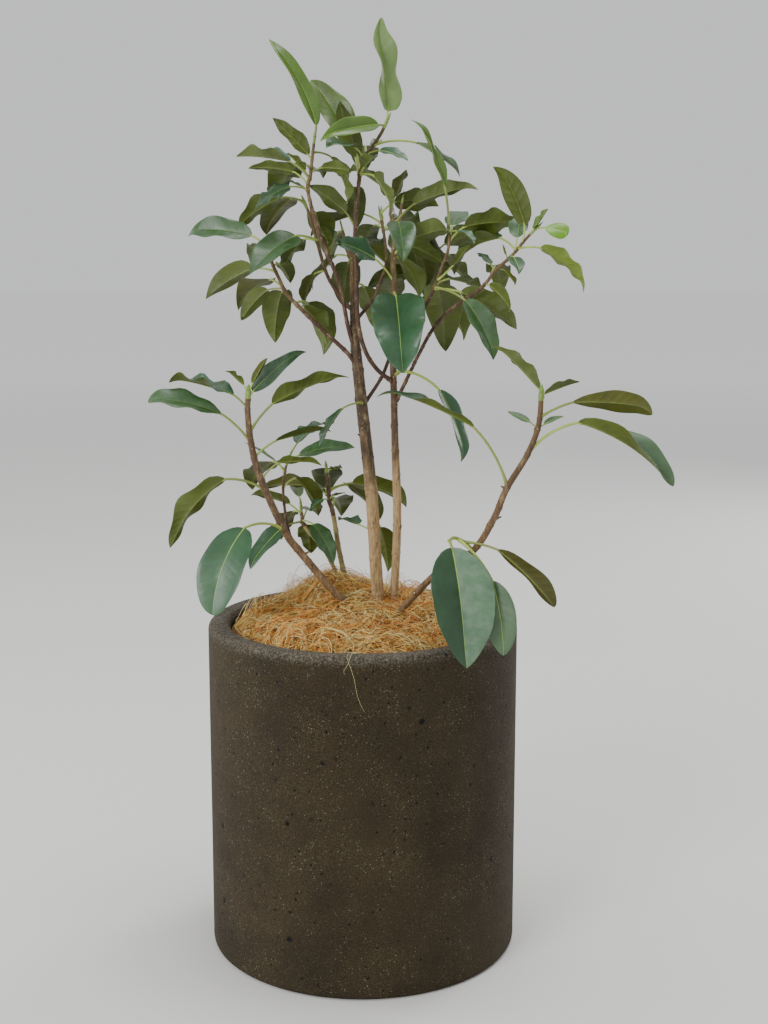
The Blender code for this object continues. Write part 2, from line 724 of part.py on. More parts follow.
def branch(one, room):
    """Works out the paths of a limb and its side twigs, takes their room, and lists its leaves."""
    bare, leafy, bare_radii, leafy_radii = split_limb(one)
    if bare is not None:
        room.add_limb(bare, bare_radii, one.mass)
    room.add_limb(leafy, leafy_radii, one.mass)
    chance = random.Random(one.mass + str(SEED))
    rows = [(leaf, point_at(leafy, leaf.at)) for leaf in one.leaves]
    twigs, rule = [], []
    for side in one.sides:
        path = side_twig(point_at(leafy, side.at), side.heading, side.rise, side.length)
        radii = np.linspace(leafy_radii[-1], STALK_RADIUS, len(path))
        room.add_limb(path, radii, one.mass)
        twigs.append((path, radii))
        rule += [(leaf, point_at(path, leaf.at)) for leaf in rule_leaves(side.leaves, chance)]
    rear = rule_leaves(one.rear, chance, heading=90, spread=REAR_SPREAD)
    rule += [(leaf, point_at(leafy, leaf.at)) for leaf in rear]
    return Branch(one, bare, bare_radii, leafy, leafy_radii, twigs, rows, rule)


def settle_leaves(branches, room):
    """Settled leaves of each mass: every mass's own rows come before any leaf of the rule."""
    settled = {grown.limb.mass: [] for grown in branches}
    for kind in ("rows", "rule"):
        for grown in branches:
            for leaf, root in getattr(grown, kind):
                found = room.settle(leaf, root, grown.leafy[0], grown.limb.mass)
                if found:
                    settled[grown.limb.mass].append((found, root))
    return settled


def sides_of(one):
    """The bevel resolution of a limb: a stem that stands in the soil is the rounder."""
    return STEM_SIDES if one.flare else TWIG_SIDES


def grow(grown, leaves, bark, leafy_finish, cutters):
    """The bare limb and the foliage mass of one stem or bough."""
    one = grown.limb
    clear = [cutters[one.parent]] if one.parent else []
    if grown.bare is not None:
        made = tube(one.name, grown.bare, grown.bare_radii, sides_of(one))
        made.data.materials.append(bark)
        cut_clear(made, clear)
    stem = tube(one.mass, grown.leafy, grown.leafy_radii, TWIG_SIDES)
    pieces = [tube(one.mass + " side", path, radii, TWIG_SIDES) for path, radii in grown.twigs]
    pieces += [leaf_solid(one.mass + " leaf", leaf, root) for leaf, root in leaves]
    fuse(stem, pieces)
    if grown.bare is None:
        cut_clear(stem, clear)
    stem.data.materials.clear()
    stem.data.materials.append(leafy_finish)


def arc(centre, radius, first, last):
    """Points of a quarter round in the profile's plane."""
    steps = [first + (last - first) * k / ARC_STEPS for k in range(ARC_STEPS + 1)]
    return [
        (centre[0] + radius * math.cos(math.radians(a)), centre[1] + radius * math.sin(math.radians(a)))
        for a in steps
    ]


def turned(name, profile, finish):
    """A solid of revolution: the open profile runs from the axis back to the axis."""

    def build(grid):
        verts = [grid.verts.new((x, 0, z)) for x, z in profile]
        for one, two in zip(verts, verts[1:]):
            grid.edges.new((one, two))

    made = new_object(name, mesh_from(name, build), finish)
    screw = made.modifiers.new("Turn", "SCREW")
    screw.steps = POT_STEPS
    screw.render_steps = POT_STEPS
    screw.use_merge_vertices = True
    screw.merge_threshold = 1e-5
    apply_modifiers(made)
    made.data.shade_smooth()
    made.data.set_sharp_from_angle(angle=math.radians(SHARP_ANGLE))
    return made


def pot(finish):
    """The round planter: flat underside, straight wall, rounded lip and a deep well."""
    inner = POT_RADIUS - POT_WALL
    profile = [(0, POT_FLOOR), (inner, POT_FLOOR)]
    profile += arc((inner + LIP_ROUND, POT_HEIGHT - LIP_ROUND), LIP_ROUND, 180, 90)
    profile += arc((POT_RADIUS - LIP_ROUND, POT_HEIGHT - LIP_ROUND), LIP_ROUND, 90, 0)
    profile += arc((POT_RADIUS - FOOT_ROUND, FOOT_ROUND), FOOT_ROUND, 0, -90)
    profile.append((0, 0))
    return turned("pot", profile, finish)


def soil(finish):
    """The potting mix under the mulch."""
    radius = POT_RADIUS - POT_WALL - GAP
    profile = [(0, SOIL_TOP), (radius, SOIL_TOP), (radius, POT_FLOOR + GAP), (0, POT_FLOOR + GAP)]
    return turned("soil", profile, finish)


def coir_height(x, y):
    """Height of the mulch: crowned in the middle, with a tuft pulled up behind the stems."""
    rim = POT_RADIUS - POT_WALL
    crown = COIR_CROWN * (1 - (x * x + y * y) / rim**2)
    near = (x - TUFT_AT[0]) ** 2 + (y - TUFT_AT[1]) ** 2
    return COIR_EDGE + crown + TUFT_RISE * math.exp(-near / (2 * TUFT_SPREAD**2))


def coir(finish, cutters):
    """The mound of coconut fibre, with a socket round each stem that stands in it."""
    edge = POT_RADIUS - POT_WALL - GAP
    bottom = SOIL_TOP + GAP

    def ring(grid, radius, height=None):
        corners = []
        for k in range(COIR_SECTORS):
            angle = 2 * math.pi * k / COIR_SECTORS
            x, y = radius * math.cos(angle), radius * math.sin(angle)
            corners.append(grid.verts.new((x, y, coir_height(x, y) if height is None else height)))
        return corners

    def build(grid):
        rings = [ring(grid, radius) for radius in COIR_RINGS]
        rings += [ring(grid, edge), ring(grid, edge, bottom)]
        for inside, outside in zip(rings, rings[1:]):
            for k in range(COIR_SECTORS):
                j = (k + 1) % COIR_SECTORS
                grid.faces.new((inside[k], outside[k], outside[j], inside[j]))
        middle = grid.verts.new((0, 0, coir_height(0, 0)))
        for k in range(COIR_SECTORS):
            grid.faces.new((middle, rings[0][k], rings[0][(k + 1) % COIR_SECTORS]))
        grid.faces.new(rings[-1])

    made = new_object("coir_mulch", mesh_from("coir_mulch", build), finish)
    cut_clear(made, cutters)
    return made


def clear_the_scene():
    for old in list(bpy.data.objects):
        bpy.data.objects.remove(old)
    home = bpy.data.collections.new("Potted fig")
    bpy.context.scene.collection.children.link(home)


def main():
    clear_the_scene()
    clay = material("Charcoal fibre clay", (0.06, 0.052, 0.045), 0.85)
    fibre = material("Coconut fibre", (0.42, 0.24, 0.1), 0.95)
    mix = material("Potting mix", (0.05, 0.035, 0.025), 0.95)
    bark = material("Bark", (0.2, 0.13, 0.09), 0.8)
    leaf_green = material("Leaf", (0.05, 0.12, 0.05), 0.4)

    room = Room()
    branches = [branch(one, room) for one in PLANT]
    leaves = settle_leaves(branches, room)
    parents = {one.parent for one in PLANT if one.parent}
    cutters = {}
    for grown in branches:
        one = grown.limb
        if one.flare or one.name in parents:
            cutters[one.name] = tube(
                one.name + " cutter", grown.bare, grown.bare_radii + GAP, sides_of(one)
            )

    pot(clay)
    soil(mix)
    coir(fibre, [cutters[one.name] for one in PLANT if one.flare])
    for grown in branches:
        grow(grown, leaves[grown.limb.mass], bark, leaf_green, cutters)
    for cutter in cutters.values():
        bpy.data.objects.remove(cutter)


main()
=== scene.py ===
"""The looks of a young Port Jackson fig in a tall round planter, dressed over its solids.

Lengths are written in millimetres and turned to metres by MM. The origin is the middle of the
pot's flat underside, +X is to the viewer's right, -Y is towards the viewer and +Z is up.
Angles are in degrees. A heading is measured from +X, so 90 points away from the viewer.
"""

import json
import math
import random
from collections import namedtuple

import bpy
import numpy as np
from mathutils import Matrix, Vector

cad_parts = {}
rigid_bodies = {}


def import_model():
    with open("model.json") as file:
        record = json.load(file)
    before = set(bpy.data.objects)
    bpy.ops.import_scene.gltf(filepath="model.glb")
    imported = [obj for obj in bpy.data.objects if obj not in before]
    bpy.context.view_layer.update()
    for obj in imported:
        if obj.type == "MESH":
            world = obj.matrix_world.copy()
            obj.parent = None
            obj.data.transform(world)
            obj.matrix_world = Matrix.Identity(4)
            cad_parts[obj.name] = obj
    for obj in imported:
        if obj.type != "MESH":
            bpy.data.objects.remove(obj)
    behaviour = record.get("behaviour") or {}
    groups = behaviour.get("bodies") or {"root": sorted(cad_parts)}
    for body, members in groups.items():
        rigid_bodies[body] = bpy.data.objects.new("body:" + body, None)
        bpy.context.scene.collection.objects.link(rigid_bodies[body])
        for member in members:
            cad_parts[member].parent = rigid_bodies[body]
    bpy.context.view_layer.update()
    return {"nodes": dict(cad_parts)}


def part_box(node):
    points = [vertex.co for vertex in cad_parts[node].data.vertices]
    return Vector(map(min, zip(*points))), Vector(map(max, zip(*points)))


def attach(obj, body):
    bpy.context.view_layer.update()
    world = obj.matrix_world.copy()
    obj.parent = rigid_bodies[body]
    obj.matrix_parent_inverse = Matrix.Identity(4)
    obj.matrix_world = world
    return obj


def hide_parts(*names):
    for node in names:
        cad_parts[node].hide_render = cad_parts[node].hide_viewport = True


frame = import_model()

MM = 0.001
SEED = 21

# Camera, fitted to the pot's rim, foot and sides
CAMERA_PLACE = (0.0198, -1.351, 0.638)
CAMERA_DROP = 9.56  # how far it looks down
CAMERA_LENS = 52.03
CAMERA_SENSOR = 36.0

# Planter, whose radius and height come from its node
POT_RADIUS = round(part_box("pot")[1].x / MM, 1)
POT_HEIGHT = round(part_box("pot")[1].z / MM, 1)
POT_WALL = 21.0
POT_FLOOR = 25.0
LIP_ROUND = 6.5
FOOT_ROUND = 5.0
POT_SECTORS = 440
POT_RING = 2.05  # spacing of the rings down the wall
WELL_RING = 30.0  # and down the hidden part of the well
LIP_STEPS = 9
FOOT_STEPS = 6
POT_MIDDLE = 60.0  # rings that close the flat underside and the well's floor
POT_AXIS = 0.5
CLAY_WANDER = 0.22  # how far the cast wall strays from true
CLAY_WAVES = range(2, 9)
CLAY_RISE = (0.005, 0.03)
PITS = 300
PIT_SIZES = (0.8, 1.8)
PIT_DEPTH = 0.75  # of a pit's radius
PIT_HEIGHTS = (8, 308)

# Coir mulch
COIR_EDGE = 301.0  # height of the mulch at the wall
COIR_CROWN = 18.0  # how far its middle stands above its edge
TUFT_AT = (-32.0, 46.0)  # a pulled-up tuft behind the stems
TUFT_RISE = 20.0
TUFT_SPREAD = 27.0
BED_RINGS = 60
BED_SECTORS = 260
BED_DROP = 5.0  # how far the mat lies below the strands
BED_RUMPLE = 0.7
BED_FOOT = 286.0
RUMPLES = np.random.default_rng(SEED).uniform(-0.42, 0.42, (14, 3))
FIBRE_STEP = 4.5
LOCKS = 560
LOCK_LENGTH = (22, 62)
LOCK_STRANDS = (6, 14)
LOCK_TURN = 2.0  # how far in radians a lock's heading strays from the middle's
LOCK_CURL = 2.6
LOCK_ARCH = 4.2
LOCK_CLIMB = (-2.0, 3.0)
LOCK_SPREAD = (1.2, 4.4)
LOOSE = 1500
LOOSE_SHAPE = ((30, 90), 2.6, (2, 11), (-2, 4), 0.5)  # length, curl, arch, climb and spread
ANY_TURN = 6.3  # a full turn in radians, near enough
STRAND_FANS = 2.2  # how much more a strand strays at its end than at its start
STRAND_SHAKE = (0.3, 1.4)
SHAKE_WAVES = (3, 9)
STRAND_LATE = 0.3  # share of its lock before which a strand starts
STRAND_SWELL = ((0, 0.15, 0.85, 1), (0.5, 1, 1, 0.4))  # shares of its length, and of its radius there
STRAND_SINK = 1.0  # how far the strands lie in the mulch, and the furthest that one dips
STRAND_DIP = -3.0
WALL_KEPT = (0.6, 7.0)  # distance that a strand keeps from the wall
STRAND_RADIUS = (0.14, 0.33)
FINE_RADIUS = (0.1, 0.22)
WALL_FADE = 14.0  # strands lie flatter this near the wall
WALL_OVERRUN = 3.0  # and end where they would run this far past their limit there
STRAND_SHARES = (0.36, 0.2, 0.3, 0.14)
TUFT_STRANDS = 700
TUFT_SHAPE = ((30, 80), 3.4, (1, 10), (-6, 15), 1.0)
TUFT_START = 0.5  # of the tuft's spread
TUFT_SHARES = (0.36, 0.34, 0.22, 0.08)

# Fibres that hang over the lip: heading, how far down they reach, and their drift sideways
HANGING = ((-94.5, 48.0, 14.0), (-93.4, 15.0, -5.0))
HANGING_START = 11.0  # how far inside the wall's inner face they start
HANGING_OVER = 0.4  # the share of a fibre that crosses the lip
HANGING_STEPS = 46

# Limbs
GAP = 0.3
LIMB_STEP = 18.0
TAPER_POWER = 3.0
FLARE_REACH = 9.0
FOOT_RISE = 3.0
COLLAR = 3.0
TWIG_BEND = 15.0
BARK_STEP = 1.0  # spacing of the rings of points on bark
BARK_SIDES = 24
LIMB_FINISH = {
    "stem_main": "main",
    "stem_second": "second",
    "stem_low_left": "low",
    "stem_low_right": "low",
    "stem_back": "back",
    "stem_back_left": "back",
}
SHOOT_SIDES = 14
SPUR_SWELL = 0.3
BOUGH_SLIM = 0.8  # a bough is this much slimmer than its solid
SOCKET_SWELL = 0.6  # how much a bough swells where it leaves its stem
SOCKET_REACH = 6.0
FORK_THINNING = {  # heights between which a stem thins at its forks, and the share that is left
    "stem_main": (560, 600, 0.5),
    "stem_second": (440, 500, 0.86),
}
SCAR_RING = 0.4  # height of the ring and of the boss that an old leaf leaves
SCAR_BOSS = 0.2  # of the radius
SCAR_REACH = 0.8  # how far along the limb a scar's ring swells
BOSS_BELOW = 1.9  # how far the boss sits below its ring
BOSS_REACH = 1.7
BOSS_SPREAD = 0.55  # in radians round the limb
BARK_WAVES = (2, 3, 5)  # shallow ribs round the limb
BARK_WAVE = 0.014  # of the radius
PORE_EVERY = 1.6
PORE_RISE = (0.08, 0.24)
PORE_REACH = 0.55
PORE_SPREAD = 0.3
STUBS = (  # broken twigs: limb, height, heading, length
    ("stem_low_right", 342, -100, 1.6),
    ("stem_low_right", 417, -10, 4.5),
    ("stem_low_right", 452, 160, 2.0),
    ("stem_low_left", 372, 5, 3.5),
    ("stem_main", 478, 150, 3.0),
)
STUB_RADII = (1.3, 1.2, 0.85, 0.7)
STUB_CLIMB = 0.5
GREEN_END = 8.0  # length of the green tip of a shoot
BUD_LENGTH = (6.0, 9.0)
BUD_SWELL = ((0, 0.25, 0.6, 1), (0.85, 1.15, 0.75, 0.1))  # shares of its length, and of its radius

# Leaves
STALK_RADIUS = 0.95
STALK_SHARE = 0.28
STALK_STEPS = 10
STALK_SWELL = ((0, 1, 3, 9), (1.5, 1.2, 0.9, 0.85))  # steps along the stalk, and its radius there
STALK_END = 0.5  # radius where the stalk has run on into the midrib
STALK_RUNS_ON = 0.05  # of the blade's length
GREEN_SIDES = 10
BLADE_WIDTH = 0.5
BLADE_FOLD = 14.0
BLADE_STRAIGHT = 0.55
OUTLINE_RISE = 0.55
OUTLINE_FALL = 0.75
GOLDEN = 137.5
RULE_SPAN = 0.85
RULE_LENGTH = (60, 95)
RULE_START = (5, 50)
RULE_DROOP = (75, 115)
RULE_WIDE = (0.42, 0.55)
REAR_SPREAD = 110.0

# Blades
BLADE_ACROSS = (1.0, None, 0.8, 0.55, 0.3, None)  # shares of the half width; None is worked out
RIM = 0.3  # width of the pale margin
RIB_START = 0.8  # half width of the midrib at the blade's base
RIB_END = 0.13
RIB_WIDEST = 0.22  # the most of the blade's half width that the midrib takes
RIM_WIDEST = 0.86  # the least of it that lies inside the pale margin
VEIN_SPACING = 8.5
VEIN_COUNT = (4, 10)
VEINS_SPAN = (0.09, 0.86)  # share of the blade at its first and last pair of veins
VEIN_TO = 0.83  # share of the half width that they reach
BASE_ROWS = ((0.0, 0), (0.012, 0), (0.035, 0))  # rows before the veins and past them, with no crest
TIP_ROWS = ((0.94, 0), (0.965, 0), (0.985, 0), (1.0, 0))
VEIN_HALF = 0.28  # half width of a side vein
VEIN_SLANT = 0.13  # how far a side vein runs forward by the margin
BLADE_EDGE = 0.32  # half width that a blade keeps at its ends
BLADE_THICK = 0.3  # at the margin, and twice that by the midrib
HALVES_APART = 2.1  # how far the waves of a blade's two halves are out of step
TIP_BENDS = 0.78  # share of the blade past which its tip bends
RIB_KEEL = (1.15, 0.25)  # how far the midrib stands out below: a part that falls away, and one that stays
RIB_GROOVE = 0.12
VEIN_GROOVE = 0.02
VEIN_KEEL = 0.11
QUILT = 0.012  # how far the blade swells between its veins

# Room kept round each leaf and limb
LEAF_ROOM = 4.0
LIMB_ROOM = 2.5
NEAR_ROOT = 8.0
POT_ROOM = 5.0
REACH = 178.0
CROWN_LOW = (-196.0, -156.0, 285.0)
CROWN_HIGH = (282.0, 165.0, 850.0)
SAMPLE_STEP = 4.5
LIMB_SAMPLE = 3.0
OWN_ROOM = 22.0
SWINGS = (0, 8, -8, 16, -16, 26, -26)
TILTS = (0, 10, -10)


def rgb(red, green, blue):
    """A colour from its 0 to 255 screen values."""
    levels = [v / 255 for v in (red, green, blue)]
    return (*[v / 12.92 if v <= 0.04045 else ((v + 0.055) / 1.055) ** 2.4 for v in levels], 1.0)


# Leaf tones: name, upper colour, underside and midrib
UPPERS = (
    ("deep", (32, 64, 30), "olive", "old"),
    ("blue", (36, 78, 42), "olive", "bright"),
    ("green", (46, 80, 34), "olive", "old"),
    ("olive", (66, 84, 30), "brown", "old"),
    ("mid", (74, 98, 28), "pale", "young"),
    ("young", (76, 106, 26), "pale", "young"),
    ("lime", (98, 146, 4), "lime", "young"),
    ("grey", (106, 132, 70), "pale", "young"),
    ("dull", (70, 98, 64), "olive", "bright"),
    # shaded: a darker copy of blue, painted shade for the front leaf
    ("shaded", (28, 64, 32), "olive", "bright"),
    # The next tone is painted sheen: a grey upper and underside standing in for a grey sheen on the leaf
    ("ash", (92, 112, 80), "ash", "young"),
    ("umber", (60, 76, 28), "umber", "old"),
)
UNDERS = (
    ("olive", (72, 84, 14)),
    ("brown", (76, 79, 14)),
    ("pale", (98, 116, 30)),
    ("lime", (110, 150, 8)),
    # painted sheen: a grey underside standing in for a sheen
    ("ash", (100, 110, 72)),
    ("umber", (60, 60, 12)),
)
RIBS = (
    ("old", (88, 118, 48)),
    ("bright", (136, 166, 70)),
    ("young", (130, 164, 66)),
    ("under", (102, 116, 40)),
)
COMMON_TONES = ("deep", "blue", "green", "olive")
COMMON_SHARES = (0.34, 0.2, 0.34, 0.12)
BARK_PALE = rgb(176, 152, 112)
BARK_DARK = rgb(40, 28, 20)
BARK_PORE = rgb(196, 178, 140)
STUB_END = rgb(206, 190, 156)
GREEN_PARTS = (
    ("green", (116, 138, 58)),
    ("bud", (108, 136, 50)),
    ("stalk", (152, 172, 76)),
    ("stalk olive", (122, 134, 58)),
)
STALK_FINISHES = ("stalk", "stalk", "stalk olive")
DUST = rgb(128, 148, 128)
# Painted sheen: a paler finish for one half of a blade's upper side, where light falls on it, with more of
# the dust film
PAINTED_SHEEN_COLOUR = rgb(78, 108, 80)  # upper colour of the painted sheen
PAINTED_SHEEN_DUST = 0.4
LEAF_DUST = 0.16
YOUNG_DUST = 0.05

# Bark: name, low and high colours, the heights in metres between them, and its flecks
BARKS = (
    ("main", rgb(168, 138, 92), rgb(54, 40, 22), 0.42, 0.465, rgb(96, 74, 46)),
    ("second", rgb(172, 144, 100), rgb(68, 44, 22), 0.435, 0.475, rgb(96, 74, 48)),
    ("low", rgb(120, 92, 56), rgb(98, 72, 44), 0.31, 0.48, rgb(70, 48, 30)),
    ("back", rgb(158, 146, 92), rgb(112, 94, 54), 0.36, 0.46, rgb(104, 90, 58)),
    ("bough", rgb(76, 50, 34), rgb(86, 60, 38), 0.55, 0.70, rgb(44, 30, 22)),
    ("shoot", rgb(92, 68, 40), rgb(104, 84, 46), 0.45, 0.75, rgb(62, 44, 28)),
)

FIBRE_COLOURS = (
    ("bright", (255, 194, 100)),
    ("pale", (255, 230, 164)),
    ("tan", (218, 138, 56)),
    ("dark", (112, 64, 24)),
)
BED_DARK = rgb(44, 24, 10)
BED_LIGHT = rgb(132, 80, 34)
SOIL_DARK = rgb(24, 17, 12)
SOIL_LIGHT = rgb(92, 70, 50)

CLAY_DARK = rgb(38, 30, 16)
CLAY_LIGHT = rgb(51, 42, 26)
CLAY_GRAIN = rgb(86, 75, 52)
CLAY_SPECK = rgb(158, 158, 152)
# painted shade: near black inside the pits
PIT_SHADE = rgb(6, 5, 5)
# the lip's paler colour: partly wear, partly a painted highlight
LIP_WEAR_AND_HIGHLIGHT = rgb(126, 121, 110)
PIT_CELLS = ((210.0, 0.07), (95.0, 0.035))  # cells per metre, and the share of them with a pit

# painted shade: the floor is grey by the plant and near white far away
FLOOR_NEAR = rgb(216, 215, 212)
FLOOR_FAR = rgb(252, 252, 250)

# Room round the plant: name, place, what it points at, size and power of each light
FLOOR = 30.0
SURROUND = 0.92
SURROUND_COLOUR = rgb(232, 233, 234)
LIGHTS = (
    ("Left", (-1.6, -2.2, 1.4), (0.0, 0.0, 0.4), (1.2, 1.4), 56.0),
    ("Right", (2.1, 2.0, 1.2), (0.0, 0.0, 0.4), (1.2, 1.4), 34.0),
    ("Top", (0.3, 0.1, 2.6), (0.0, 0.0, 0.5), (1.1, 1.1), 30.0),
    ("Edge", (-2.5, 0.5, 0.7), (0.0, 0.0, 0.3), (1.0, 1.2), 23.0),
)


# A leaf leaves its stem at a share of the length, faces a heading, and turns from its start rise
# to its end rise. Roll tips it about its own line, and twist adds to that towards the tip.
Leaf = namedtuple(
    "Leaf",
    "at heading length start end wide roll stalk twist tone form",
    defaults=(BLADE_WIDTH, 0, STALK_SHARE, 0, None, {}),
)
Side = namedtuple("Side", "at heading rise length leaves")
Limb = namedtuple("Limb", "name path thick thin flare parent bare mass leaves sides rear")
Branch = namedtuple("Branch", "limb leafy twigs rows rule")


def limb(name, path, thick, thin, bare, leaves, mass=None, parent=None, flare=0.0, sides=(), rear=0):
    """A stem or bough with radii thick to thin. Past its first `bare` points it carries leaves."""
    return Limb(name, path, thick, thin, flare, parent, bare, mass, leaves, sides, rear)


def spur(name, path, parent, leaves):
    """A short leafy twig straight off a stem."""
    return Limb(None, path, 1.6, 1.3, 0.0, parent, 0, name, leaves, (), 0)


